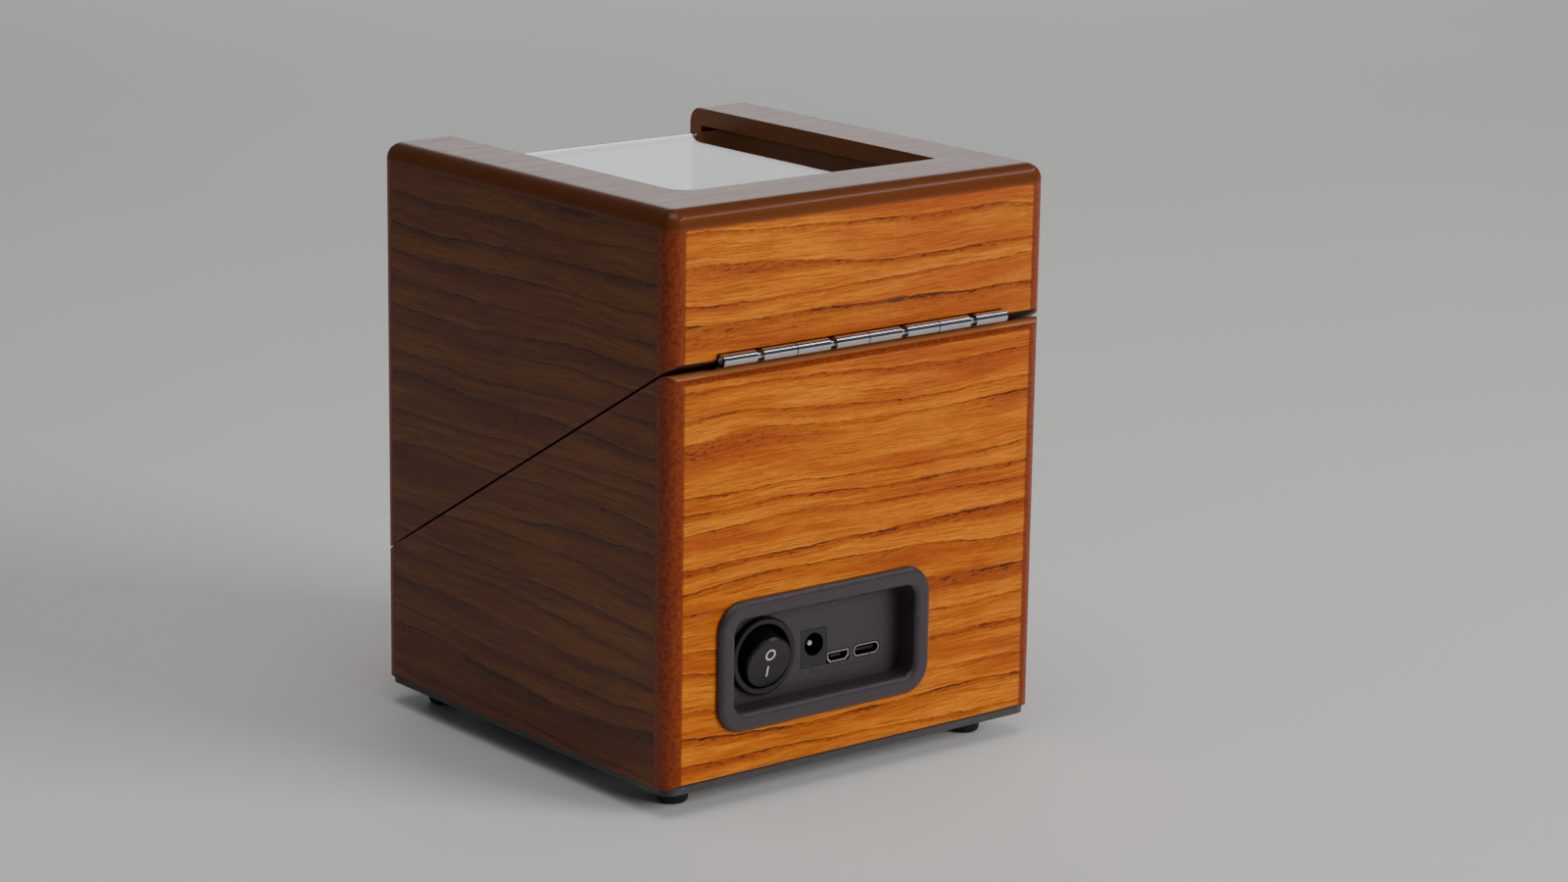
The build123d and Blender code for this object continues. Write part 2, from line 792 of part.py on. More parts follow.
# Spindle with its clip and two flanged bushes
bush_boss_low = bridge_low - bush_boss_h + bridge_t
shaft_low = bush_boss_low - bush_flange_t - thrust_gap - 2 * clip_t
clip_top = bush_boss_low - bush_flange_t - thrust_gap
with BuildPart() as drum_shaft:
    discs(deck.offset(shaft_low), [(0, 0)], shaft_r, drum_low + pocket_floor / 2 - shaft_low)
    with BuildSketch(deck.offset(clip_top)):
        Circle(shaft_r)
        Circle(shaft_r - clip_groove, mode=Mode.SUBTRACT)
    extrude(amount=-clip_t, mode=Mode.SUBTRACT)
drum_shaft.part.label = "drum_shaft"

with BuildPart() as retaining_clip:
    with BuildSketch(deck.offset(clip_top)):
        Circle(clip_r)
        Circle(shaft_r - clip_groove, mode=Mode.SUBTRACT)
        with Locations((0, clip_r)):
            Rectangle(shaft_r, 2 * clip_r, mode=Mode.SUBTRACT)
    extrude(amount=-clip_t)
retaining_clip.part.label = "retaining_clip"


def flanged_bush(mouth, inward):
    """Bush with its flange on the plane at mouth, its barrel running inward."""
    discs(deck.offset(mouth), [(0, 0)], bush_flange_r, -inward * bush_flange_t)
    discs(deck.offset(mouth), [(0, 0)], bush_r, inward * bush_len)
    bore_from = mouth - inward * bush_flange_t
    discs(
        deck.offset(bore_from),
        [(0, 0)],
        shaft_r + bush_fit,
        inward * (bush_len + bush_flange_t),
        Mode.SUBTRACT,
    )


with BuildPart() as bush_upper:
    flanged_bush(bridge_top, -1)
bush_upper.part.label = "bush_upper"

with BuildPart() as bush_lower:
    flanged_bush(bush_boss_low, 1)
bush_lower.part.label = "bush_lower"

# Drive pulley under the drum
pulley_mid = (pulley_top + pulley_low) / 2
with BuildPart() as drive_pulley:
    discs(deck.offset(pulley_low), [(0, 0)], pulley_r, pulley_t)
    discs(deck.offset(pulley_hub_low), [(0, 0)], pulley_hub_r, pulley_low - pulley_hub_low)
    with BuildSketch(deck.offset(pulley_mid - groove_w / 2)):
        Circle(pulley_r)
        Circle(groove_r, mode=Mode.SUBTRACT)
    extrude(amount=groove_w, mode=Mode.SUBTRACT)
    with BuildSketch(deck.offset(pulley_low)):
        with PolarLocations(pulley_hole_at, pulley_hole_n):
            Circle(pulley_hole_r)
    extrude(amount=pulley_t, mode=Mode.SUBTRACT)
    discs(deck.offset(pulley_hub_low), [(0, 0)], shaft_r, pulley_top - pulley_hub_low, Mode.SUBTRACT)
    discs(deck.offset(pulley_low), hub_screws_at, screw_r, pulley_t, Mode.SUBTRACT)
drive_pulley.part.label = "drive_pulley"

with BuildPart() as pulley_screws:
    discs(deck.offset(pulley_low), hub_screws_at, screw_r, pulley_t + pocket_floor)
    discs(deck.offset(pulley_low - screw_head_h), hub_screws_at, screw_head_r, screw_head_h)
pulley_screws.part.label = "pulley_screws"

# Motor pulley and shaft
motor_at = [(motor_x, 0)]
motor_groove_r = motor_pulley_r - groove_d
with BuildPart() as motor_pulley:
    discs(deck.offset(pulley_low), motor_at, motor_pulley_r, pulley_t)
    with BuildSketch(deck.offset(pulley_mid - groove_w / 2)):
        with Locations(*motor_at):
            Circle(motor_pulley_r)
            Circle(motor_groove_r, mode=Mode.SUBTRACT)
    extrude(amount=groove_w, mode=Mode.SUBTRACT)
    discs(deck.offset(pulley_low), motor_at, motor_shaft_r, pulley_t, Mode.SUBTRACT)
motor_pulley.part.label = "motor_pulley"

with BuildPart() as motor_shaft:
    discs(
        deck.offset(bridge_low - gearbox_bore_depth),
        motor_at,
        motor_shaft_r,
        pulley_top - bridge_low + gearbox_bore_depth,
    )
motor_shaft.part.label = "motor_shaft"

# Belt: a flat loop that rides in both grooves
belt_in_drum = groove_r + belt_gap
belt_in_motor = motor_groove_r + belt_gap


def belt_outline(extra, mode=Mode.ADD):
    """Outline of the belt loop, grown by extra, added to the open sketch."""
    with BuildLine() as rounds:
        CenterArc((0, 0), belt_in_drum + extra, 0, 360)
        CenterArc((motor_x, 0), belt_in_motor + extra, 0, 360)
    return make_hull(rounds.edges(), mode=mode)


with BuildPart() as drive_belt:
    with BuildSketch(deck.offset(pulley_mid - belt_w / 2)):
        belt_outline(belt_t)
        belt_outline(0.0, Mode.SUBTRACT)
    extrude(amount=belt_w)
drive_belt.part.label = "drive_belt"

# Bridge that carries the bushes, the gearmotor and the control board
gear_screws_at = [(motor_x, -gear_screw_out), (motor_x, gear_screw_out)]
pcb_posts = [(pcb_x + x, u) for x in (-pcb_hole_x, pcb_hole_x) for u in (-pcb_hole_u, pcb_hole_u)]
with BuildPart() as mechanism_bridge:
    with BuildSketch(deck.offset(bridge_low)):
        RectangleRounded(bridge_w, bridge_d, post_r)
    extrude(amount=bridge_t)
    discs(deck.offset(bush_boss_low), [(0, 0)], bush_boss_r, bridge_low - bush_boss_low)
    discs(deck.offset(bridge_low), pcb_posts, pcb_post_r, -pcb_stand)
    discs(deck.offset(bridge_low - pcb_stand), pcb_posts, screw_r, pcb_stand, Mode.SUBTRACT)
    discs(deck.offset(bush_boss_low), [(0, 0)], bush_r, bridge_top - bush_boss_low, Mode.SUBTRACT)
    discs(deck.offset(bridge_low), motor_at, motor_hole_r, bridge_t, Mode.SUBTRACT)
    discs(deck.offset(bridge_low), gear_screws_at, screw_r, bridge_t, Mode.SUBTRACT)
    discs(deck.offset(bridge_low), posts, screw_r, bridge_t, Mode.SUBTRACT)
mechanism_bridge.part.label = "mechanism_bridge"

with BuildPart() as mechanism_screws:
    discs(deck.offset(bridge_low), posts, screw_head_r, -screw_head_h)
    discs(deck.offset(bridge_low), posts, screw_r, bridge_t + post_screw_depth)
    cross_slots(deck.offset(bridge_low - screw_head_h), posts, screw_head_r, screw_head_h / 2)
mechanism_screws.part.label = "mechanism_screws"

# Gearmotor
with BuildPart() as gearbox:
    discs(deck.offset(bridge_low), motor_at, gearbox_r, -gearbox_t)
    discs(
        deck.offset(bridge_low),
        motor_at,
        motor_shaft_r + bush_fit,
        -gearbox_bore_depth - thrust_gap,
        Mode.SUBTRACT,
    )
    discs(deck.offset(bridge_low), gear_screws_at, screw_r, -gearbox_t / 2, Mode.SUBTRACT)
gearbox.part.label = "gearbox"

motor_low = bridge_low - gearbox_t - motor_h
with BuildPart() as motor:
    discs(deck.offset(bridge_low - gearbox_t), motor_at, motor_r, -motor_h)
    discs(deck.offset(motor_low), motor_at, motor_tail_r, -motor_tail_h)
    slabs(
        deck.offset(motor_low),
        [(motor_x - motor_tag_x, 0), (motor_x + motor_tag_x, 0)],
        motor_tag_t,
        motor_tag_w,
        -motor_tag_len,
    )
motor.part.label = "motor"

with BuildPart() as gearbox_screws:
    discs(deck.offset(bridge_top), gear_screws_at, screw_head_r, screw_head_h)
    discs(deck.offset(bridge_top), gear_screws_at, screw_r, -bridge_t - gearbox_t / 2)
    cross_slots(
        deck.offset(bridge_top + screw_head_h), gear_screws_at, screw_head_r, -screw_head_h / 2
    )
gearbox_screws.part.label = "gearbox_screws"

# Control board with its parts and screws
pcb_top = bridge_low - pcb_stand
pcb_low = pcb_top - pcb_t
with BuildPart() as control_board:
    with BuildSketch(deck.offset(pcb_low)):
        with Locations((pcb_x, 0)):
            RectangleRounded(pcb_w, pcb_d, pcb_r)
        with Locations(*pcb_posts):
            Circle(screw_r, mode=Mode.SUBTRACT)
    extrude(amount=pcb_t)
control_board.part.label = "control_board"

headers_at = [(pcb_x - header_x, header_u), (pcb_x + header_x, header_u)]
caps_at = [(pcb_x - cap_x, cap_u), (pcb_x + cap_x, cap_u)]
with BuildPart() as board_components:
    slabs(deck.offset(pcb_low), [(pcb_x, chip_u)], chip_size, chip_size, -chip_t)
    slabs(deck.offset(pcb_low), headers_at, header_size, header_size, -header_h)
    discs(deck.offset(pcb_low), caps_at, cap_r, -cap_h)
board_components.part.label = "board_components"

with BuildPart() as board_screws:
    discs(deck.offset(pcb_low), pcb_posts, screw_head_r, -screw_head_h)
    discs(deck.offset(pcb_low), pcb_posts, screw_r, pcb_t + pcb_stand)
board_screws.part.label = "board_screws"


def mode_switch(at):
    """Rotary switch hung under the panel, its threaded neck passing through."""
    slabs(deck.offset(panel_low), [at], mode_body, mode_body, -mode_body_h)
    discs(deck.offset(panel_low), [at], mode_neck_r, panel_t + mode_neck_out)
    discs(
        deck.offset(panel_low - mode_body_h + mode_floor),
        [at],
        mode_spindle_r + mode_fit,
        mode_body_h - mode_floor + panel_t + mode_neck_out,
        Mode.SUBTRACT,
    )


with BuildPart() as direction_switch:
    mode_switch(mode_places[0])
direction_switch.part.label = "direction_switch"

with BuildPart() as turns_switch:
    mode_switch(mode_places[1])
turns_switch.part.label = "turns_switch"

# Ribbed knobs with their spindles
knob_low = panel_top + mode_neck_out + knob_gap
spindle_low = panel_low - mode_body_h + mode_floor + mode_end_gap
knobs = {}
for knob_name, (knob_x, knob_u) in zip(("direction_knob", "turns_knob"), mode_places):
    with BuildPart() as knob:
        with BuildSketch(deck.offset(knob_low)):
            with Locations((knob_x, knob_u)):
                Circle(knob_r)
        extrude(amount=knob_h)
        crown = knob.faces().sort_by(lambda face: deck.to_local_coords(face).center().Z)[-1]
        fillet(crown.edges(), knob_edge)
        with BuildSketch(deck.offset(knob_low)):
            with Locations((knob_x, knob_u)):
                with PolarLocations(knob_r, knob_rib_n):
                    Circle(knob_rib_r)
        extrude(amount=knob_h, mode=Mode.SUBTRACT)
        slabs(
            deck.offset(knob_low + knob_h),
            [(knob_x, knob_u + knob_r / 2)],
            knob_mark_w,
            knob_r / 2,
            -knob_mark_d,
            Mode.SUBTRACT,
        )
        discs(
            deck.offset(spindle_low), [(knob_x, knob_u)], mode_spindle_r, knob_low - spindle_low
        )
    knob.part.label = knob_name
    knobs[knob_name] = knob.part

# Recessed control panel with a raised rim, set into the rear wall
io_mid_z = wood_z + io_z
pocket_io_w = io_w - 2 * io_rim
pocket_io_h = io_h - 2 * io_rim
board_front_y = floor_y - io_wall - io_fit
board_mid_y = board_front_y - power_board_d / 2
rib_x = power_board_w / 2 - rib_w / 2
rib_mid_y = floor_y - io_wall - (power_board_d + io_fit) / 2
power_screw_y = board_mid_y - power_board_d / 2 + power_screw_edge
power_screws_at = [
    (power_board_x - rib_x, power_screw_y),
    (power_board_x + rib_x, power_screw_y),
]
with BuildPart() as io_panel:
    with BuildSketch(facing(rear_y, io_x, io_mid_z)):
        RectangleRounded(io_w, io_h, io_r)
    extrude(amount=io_rim_h)
    with BuildSketch(facing(floor_y - io_wall, io_x, io_mid_z)):
        RectangleRounded(
            pocket_io_w + 2 * io_wall, pocket_io_h + 2 * io_wall, io_inner_r + io_wall
        )
    extrude(amount=io_depth + io_wall)
    with BuildSketch(facing(floor_y, io_x, io_mid_z)):
        RectangleRounded(pocket_io_w, pocket_io_h, io_inner_r)
    extrude(amount=io_depth + io_rim_h, mode=Mode.SUBTRACT)
    fillet(io_panel.faces().sort_by(Axis.Y)[-1].edges(), io_rim / 3)
    # Holes for the switch and the sockets
    with BuildSketch(facing(floor_y - io_wall)):
        with Locations((-rocker_x, wood_z + rocker_z)):
            Circle(switch_r + switch_fit)
        with Locations((-dc_x, socket_z + dc_h / 2)):
            Rectangle(dc_w + 2 * dc_fit, dc_h + 2 * dc_fit)
        with Locations((-micro_x, socket_z + micro_h / 2)):
            RectangleRounded(micro_w + 2 * socket_fit, micro_h + 2 * socket_fit, socket_fit)
        with Locations((-usb_x, socket_z + usb_h / 2)):
            SlotOverall(usb_w + 2 * socket_fit, usb_h + 2 * socket_fit)
    extrude(amount=io_wall, mode=Mode.SUBTRACT)
    # Ribs that carry the power board
    slabs(
        Plane.XY.offset(socket_z - pcb_t),
        [(power_board_x - rib_x, rib_mid_y), (power_board_x + rib_x, rib_mid_y)],
        rib_w,
        power_board_d + io_fit,
        -rib_h,
    )
    discs(Plane.XY.offset(socket_z - pcb_t), power_screws_at, screw_r, -rib_h, Mode.SUBTRACT)
io_panel.part.label = "io_panel"

with BuildPart() as power_board:
    with BuildSketch(Plane.XY.offset(socket_z - pcb_t)):
        with Locations((power_board_x, board_mid_y)):
            Rectangle(power_board_w, power_board_d)
        with Locations(*power_screws_at):
            Circle(screw_r, mode=Mode.SUBTRACT)
    extrude(amount=pcb_t)
power_board.part.label = "power_board"

with BuildPart() as power_screws:
    discs(Plane.XY.offset(socket_z), power_screws_at, screw_head_r, screw_head_h)
    discs(Plane.XY.offset(socket_z), power_screws_at, screw_r, -pcb_t - rib_h)
power_screws.part.label = "power_screws"

# Rocker switch
switch_plane = facing(floor_y, rocker_x, wood_z + rocker_z)
switch_mid = [(0, 0)]
with BuildPart() as switch_housing:
    discs(switch_plane, switch_mid, ring_out_r, ring_proud)
    discs(switch_plane, switch_mid, switch_r, -switch_len)
    discs(switch_plane.offset(ring_proud), switch_mid, switch_mouth_r, -switch_lip, Mode.SUBTRACT)
    discs(
        switch_plane.offset(ring_proud - switch_lip),
        switch_mid,
        switch_bore_r,
        -(switch_len + ring_proud - switch_lip - switch_floor),
        Mode.SUBTRACT,
    )
    fillet(switch_housing.faces().sort_by(Axis.Y)[-1].edges(), switch_lip / 2)
    with BuildSketch(Plane.YZ.offset(rocker_x - switch_r)):
        with Locations((pivot_y, wood_z + rocker_z)):
            Circle(rocker_pin_r + rocker_pin_fit)
    extrude(amount=2 * switch_r, mode=Mode.SUBTRACT)
switch_housing.part.label = "switch_housing"

with BuildPart() as switch_terminals:
    slabs(
        switch_plane.offset(-switch_len),
        [(-terminal_x, 0), (terminal_x, 0)],
        terminal_t,
        terminal_w,
        -terminal_len,
    )
switch_terminals.part.label = "switch_terminals"

# Paddle at rest with its foot pressed in, so that the face leans down
tilt = radians(rocker_tilt)
paddle_plane = Plane(
    origin=(rocker_x, pivot_y, wood_z + rocker_z),
    x_dir=(-1, 0, 0),
    z_dir=(0, cos(tilt), -sin(tilt)),
)
with BuildPart() as rocker_paddle:
    with BuildSketch(paddle_plane.offset(-rocker_back)):
        Circle(rocker_face_r)
    extrude(amount=rocker_back + rocker_face_out)
    with Locations((rocker_x, pivot_y, wood_z + rocker_z)):
        Sphere(rocker_ball_r, mode=Mode.INTERSECT)
    with BuildSketch(Plane.YZ.offset(rocker_x - rocker_pin_len)):
        with Locations((pivot_y, wood_z + rocker_z)):
            Circle(rocker_pin_r)
    extrude(amount=2 * rocker_pin_len)
rocker_paddle.part.label = "rocker_paddle"

# Power inlet
dc_plane = facing(floor_y, dc_x, socket_z + dc_h / 2)
dc_hole_at = [(0, dc_hole_z - dc_h / 2)]
with BuildPart() as dc_jack:
    slabs(dc_plane, [(0, 0)], dc_w, dc_h, -dc_len)
    discs(dc_plane, dc_hole_at, dc_hole_r, -dc_hole_len, Mode.SUBTRACT)
dc_jack.part.label = "dc_jack"

with BuildPart() as dc_pin:
    discs(dc_plane.offset(-dc_hole_len), dc_hole_at, dc_pin_r, dc_hole_len - dc_pin_short)
    fillet(dc_pin.faces().sort_by(Axis.Y)[-1].edges(), dc_pin_r / 2)
dc_pin.part.label = "dc_pin"

# Micro socket: a shell whose lower corners are cut in
micro_plane = facing(floor_y, micro_x, socket_z + micro_h / 2)


def micro_outline(inset):
    """Outline of the micro socket's shell, drawn in by inset."""
    half_w = micro_w / 2 - inset
    half_h = micro_h / 2 - inset
    with BuildSketch(micro_plane) as outline:
        with BuildLine():
            Polyline(
                (-half_w, half_h),
                (half_w, half_h),
                (half_w, micro_cut - half_h),
                (half_w - micro_cut, -half_h),
                (micro_cut - half_w, -half_h),
                (-half_w, micro_cut - half_h),
                close=True,
            )
        make_face()
    return outline.sketch


with BuildPart() as micro_usb_shell:
    extrude(micro_outline(0.0), amount=-micro_len)
    extrude(micro_outline(shell_t), amount=-micro_len + shell_back, mode=Mode.SUBTRACT)
micro_usb_shell.part.label = "micro_usb_shell"

usb_plane = facing(floor_y, usb_x, socket_z + usb_h / 2)
with BuildPart() as usb_c_shell:
    with BuildSketch(usb_plane):
        SlotOverall(usb_w, usb_h)
    extrude(amount=-usb_len)
    with BuildSketch(usb_plane):
        SlotOverall(usb_w - 2 * shell_t, usb_h - 2 * shell_t)
    extrude(amount=-usb_len + shell_back, mode=Mode.SUBTRACT)
usb_c_shell.part.label = "usb_c_shell"

with BuildPart() as port_tongues:
    slabs(
        usb_plane.offset(shell_back - usb_len),
        [(0, 0)],
        usb_tongue_w,
        tongue_t,
        usb_len - shell_back - tongue_short,
    )
    slabs(
        micro_plane.offset(shell_back - micro_len),
        [(0, 0)],
        micro_tongue_w,
        tongue_t,
        micro_len - shell_back - tongue_short,
    )
port_tongues.part.label = "port_tongues"

# Battery box: flange under the base board, box above it, latch pocket towards the front
flange_z = foot_h - tray_t
door_t = tray_t - door_sink
tabs_at = [-tab_x, tab_x]
door_edge = door_d / 2
slot_from = cell_d / 2
slot_to = door_edge + tab_reach + slot_clear
cells_at = [tray_y - cell_d / 4, tray_y + cell_d / 4]
tray_screws_at = [
    (x, tray_y + y) for x in (-tray_screw_x, tray_screw_x) for y in (-tray_screw_y, tray_screw_y)
]
with BuildPart() as battery_tray:
    with BuildSketch(Plane.XY.offset(flange_z)):
        with Locations((0, tray_y)):
            RectangleRounded(tray_w, tray_d, tray_r)
    extrude(amount=tray_t)
    slabs(Plane.XY.offset(foot_h), [(0, tray_y)], tray_box_w, tray_box_d, cell_h + tray_wall)
    slabs(
        Plane.XY.offset(foot_h),
        [(0, tray_y - pocket_out / 2)],
        pocket_box_w,
        pocket_out,
        latch_pocket_h + tray_wall,
    )
    # Recess for the door, cell space, latch pocket and tab slots
    with BuildSketch(Plane.XY.offset(flange_z)):
        with Locations((0, tray_y)):
            RectangleRounded(door_w + 2 * door_gap, door_d + 2 * door_gap, door_r + door_gap)
    extrude(amount=tray_t, mode=Mode.SUBTRACT)
    slabs(Plane.XY.offset(flange_z), [(0, tray_y)], cell_w, cell_d, tray_t + cell_h, Mode.SUBTRACT)
    slabs(
        Plane.XY.offset(flange_z),
        [(0, tray_y - door_edge - door_gap - latch_d / 2)],
        latch_w,
        latch_d,
        tray_t + latch_pocket_h,
        Mode.SUBTRACT,
    )
    slabs(
        Plane.XY.offset(foot_h),
        [(x, tray_y + (slot_from + slot_to) / 2) for x in tabs_at],
        tab_w + 2 * slot_clear,
        slot_to - slot_from,
        slot_h,
        Mode.SUBTRACT,
    )
    discs(
        Plane.XY.offset(flange_z),
        tray_screws_at,
        tray_screw_sink_r,
        tray_screw_sink,
        Mode.SUBTRACT,
    )
    discs(Plane.XY.offset(flange_z), tray_screws_at, tray_screw_r, tray_t, Mode.SUBTRACT)
battery_tray.part.label = "battery_tray"

tray_head_z = flange_z + tray_head_in
with BuildPart() as battery_screws:
    discs(
        Plane.XY.offset(tray_head_z),
        tray_screws_at,
        tray_screw_head_r,
        tray_screw_sink - tray_head_in,
    )
    discs(
        Plane.XY.offset(flange_z + tray_screw_sink), tray_screws_at, tray_screw_r, tray_screw_len
    )
    cross_slots(
        Plane.XY.offset(tray_head_z), tray_screws_at, tray_screw_head_r, tray_screw_sink / 2
    )
battery_screws.part.label = "battery_screws"

# Door with two tabs at the rear and the fixed leg of its spring latch at the front
leg_near = door_edge + door_gap + slot_clear
latch_pivot_y = tray_y - leg_near - latch_reach
latch_pivot_z = foot_h + latch_rise
latch_top_z = latch_pivot_z + latch_swing_r
tab_h = slot_h - tab_clear - tab_gap
with BuildPart() as battery_door:
    with BuildSketch(Plane.XY.offset(flange_z)):
        with Locations((0, tray_y)):
            RectangleRounded(door_w, door_d, door_r)
    extrude(amount=door_t)
    slabs(
        Plane.XY.offset(flange_z + door_t),
        [(x, tray_y + door_edge - tab_gap - tab_root / 2) for x in tabs_at],
        tab_w,
        tab_root,
        tray_t - door_t + tab_gap + tab_h,
    )
    slabs(
        Plane.XY.offset(foot_h + tab_gap),
        [(x, tray_y + door_edge + tab_reach / 2 - tab_gap) for x in tabs_at],
        tab_w,
        tab_reach + 2 * tab_gap,
        tab_h,
    )
    # Latch root, upright leg and the bar that reaches over to the sprung leg
    slabs(
        Plane.XY.offset(flange_z),
        [(0, tray_y - (door_edge + leg_near + latch_arm_t) / 2)],
        latch_arm_w,
        leg_near + latch_arm_t - door_edge,
        door_t,
    )
    slabs(
        Plane.XY.offset(flange_z),
        [(0, tray_y - leg_near - latch_arm_t / 2)],
        latch_arm_w,
        latch_arm_t,
        latch_top_z - flange_z,
    )
    slabs(
        Plane.XY.offset(latch_pivot_z - latch_swing_r),
        [(0, tray_y - leg_near - latch_reach / 2)],
        latch_arm_w,
        latch_reach,
        2 * latch_swing_r,
    )
    with BuildSketch(Plane.YZ.offset(-latch_arm_w / 2)):
        with Locations((latch_pivot_y, latch_pivot_z)):
            Circle(latch_swing_r)
    extrude(amount=latch_arm_w)
battery_door.part.label = "battery_door"

latch_near_y = latch_pivot_y - latch_swing_r - slot_clear
latch_low_z = flange_z + latch_lift
with BuildPart() as battery_latch:
    slabs(
        Plane.XY.offset(latch_low_z),
        [(0, latch_near_y - latch_arm_t / 2)],
        latch_arm_w,
        latch_arm_t,
        latch_top_z - latch_low_z,
    )
    slabs(
        Plane.XY.offset(latch_low_z),
        [(0, latch_near_y - latch_arm_t)],
        latch_arm_w,
        2 * latch_arm_t,
        latch_arm_t,
    )
battery_latch.part.label = "battery_latch"

contact_x = cell_w / 2 - contact_t / 2
contact_plane = Plane.XY.offset(foot_h + contact_lift)
with BuildPart() as battery_contacts:
    slabs(contact_plane, [(-contact_x, y) for y in cells_at], contact_t, contact_w, contact_h)
    slabs(contact_plane, [(contact_x, tray_y)], contact_t, contact_wide, contact_h)
    with BuildSketch(Plane.YZ.offset(-cell_w / 2 + contact_t)):
        with Locations(*[(y, foot_h + cell_h / 2) for y in cells_at]):
            Circle(button_r)
    extrude(amount=button_h)
battery_contacts.part.label = "battery_contacts"

pieces = [
    case_base, panel_battens, lid_shell, window, base_board,
    hinge_leaf_upper, hinge_leaf_lower, hinge_pin, hinge_screws_upper, hinge_screws_lower,
    rim_magnet, lid_magnet, rim_pads, face_panel, trim_ring, panel_screws,
    drum_cup, watch_pillow, drum_shaft, retaining_clip, bush_upper, bush_lower,
    drive_pulley, pulley_screws, motor_pulley, motor_shaft, drive_belt,
    mechanism_bridge, mechanism_screws, gearbox, motor, gearbox_screws,
    control_board, board_components, board_screws,
    direction_switch, turns_switch,
    io_panel, power_board, power_screws, switch_housing, switch_terminals, rocker_paddle,
    dc_jack, dc_pin, micro_usb_shell, usb_c_shell, port_tongues,
    battery_tray, battery_screws, battery_door, battery_latch, battery_contacts,
]
os.makedirs("parts", exist_ok=True)
for piece in pieces:
    export_step(piece.part, f"parts/{piece.part.label}.step")
for repeated in [*feet.values(), *knobs.values()]:
    export_step(repeated, f"parts/{repeated.label}.step")
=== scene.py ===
import json
import math

import bmesh
import bpy
from bpy.props import FloatProperty, FloatVectorProperty, IntProperty, PointerProperty
from mathutils import Matrix, Quaternion, Vector
from mathutils.bvhtree import BVHTree


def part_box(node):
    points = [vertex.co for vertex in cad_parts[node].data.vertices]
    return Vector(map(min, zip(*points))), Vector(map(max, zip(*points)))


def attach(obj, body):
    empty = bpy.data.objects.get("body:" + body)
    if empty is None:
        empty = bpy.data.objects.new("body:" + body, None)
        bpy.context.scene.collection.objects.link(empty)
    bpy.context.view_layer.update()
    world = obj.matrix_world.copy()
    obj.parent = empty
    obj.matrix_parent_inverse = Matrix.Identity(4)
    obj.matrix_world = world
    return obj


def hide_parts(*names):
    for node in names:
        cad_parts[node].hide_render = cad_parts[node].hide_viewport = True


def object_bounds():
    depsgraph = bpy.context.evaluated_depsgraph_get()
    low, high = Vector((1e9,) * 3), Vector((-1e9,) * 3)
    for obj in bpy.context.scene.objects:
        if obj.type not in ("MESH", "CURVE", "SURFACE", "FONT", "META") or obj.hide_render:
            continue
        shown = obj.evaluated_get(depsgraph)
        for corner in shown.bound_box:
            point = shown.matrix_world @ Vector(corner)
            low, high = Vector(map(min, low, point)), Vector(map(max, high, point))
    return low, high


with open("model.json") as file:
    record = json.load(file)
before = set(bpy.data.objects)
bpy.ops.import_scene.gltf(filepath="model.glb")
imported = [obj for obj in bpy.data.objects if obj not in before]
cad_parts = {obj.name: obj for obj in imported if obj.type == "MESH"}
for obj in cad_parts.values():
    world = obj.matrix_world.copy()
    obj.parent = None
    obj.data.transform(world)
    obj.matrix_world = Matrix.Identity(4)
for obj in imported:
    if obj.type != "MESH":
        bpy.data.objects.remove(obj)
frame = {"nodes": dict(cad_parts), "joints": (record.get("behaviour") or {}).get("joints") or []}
CAD_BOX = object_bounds()
NODES = frame["nodes"]

bl_info = {
    "name": "Watch winder dressing",
    "version": (1, 0, 0),
    "blender": (4, 5, 0),
    "location": "3D View > Sidebar > Winder",
    "description": "Veneer, lining, cushion, fittings and studio for the watch winder",
    "category": "Object",
}

MM = 0.001


def tone(red, green, blue):
    """Linear colour from display values of 0 to 255."""

    def straight(value):
        part = value / 255
        return part / 12.92 if part <= 0.04045 else ((part + 0.055) / 1.055) ** 2.4

    return (straight(red), straight(green), straight(blue), 1.0)


def joint(name):
    """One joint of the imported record."""
    return next(entry for entry in frame["joints"] if entry["name"] == name)


# The slanted deck of the inner panel: across is +X, up runs along the drum's axis
DECK_ORIGIN = Vector(joint("drum_spin")["pos_m"])
DECK_UP = Vector(joint("drum_spin")["axis"]).normalized()
DECK_ACROSS = Vector((1.0, 0.0, 0.0))
DECK_BACK = DECK_UP.cross(DECK_ACROSS)

# In millimetres from the deck's origin: the height of the cushion's middle, the half sizes, rim
# and floor of the pocket that it sits in, and the top of the panel round it
CUSHION_MIDDLE = 6.3
POCKET_HALF = (38.2, 26.7)
POCKET_RIM = 1.0
POCKET_FLOOR = -18.6
PANEL_TOP = -4.0

# Thread and the distance of each row of stitches from its seam, in millimetres
THREAD_RADIUS = 0.26
STITCH_ASIDE = 2.6

# The wood's faces and the ends of its slanted cut, in millimetres
WOOD_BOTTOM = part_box("case_base")[0].z / MM
WOOD_TOP = CAD_BOX[1].z / MM
WOOD_SIDE = CAD_BOX[1].x / MM
WOOD_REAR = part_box("case_base")[1].y / MM
CUT_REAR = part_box("case_base")[1].z / MM
CUT_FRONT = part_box("lid_shell")[0].z / MM


def deck_point(across, back, up):
    """A point over the slanted deck, given in millimetres."""
    return DECK_ORIGIN + (DECK_ACROSS * across + DECK_BACK * back + DECK_UP * up) * MM


def size(name, description, default, low, high):
    """A length in millimetres that a user may change."""
    return FloatProperty(name=name, description=description, default=default, min=low, max=high)


def share(name, description, default):
    """A share from none to all."""
    return FloatProperty(
        name=name, description=description, default=default, min=0.0, max=1.0, subtype="FACTOR"
    )


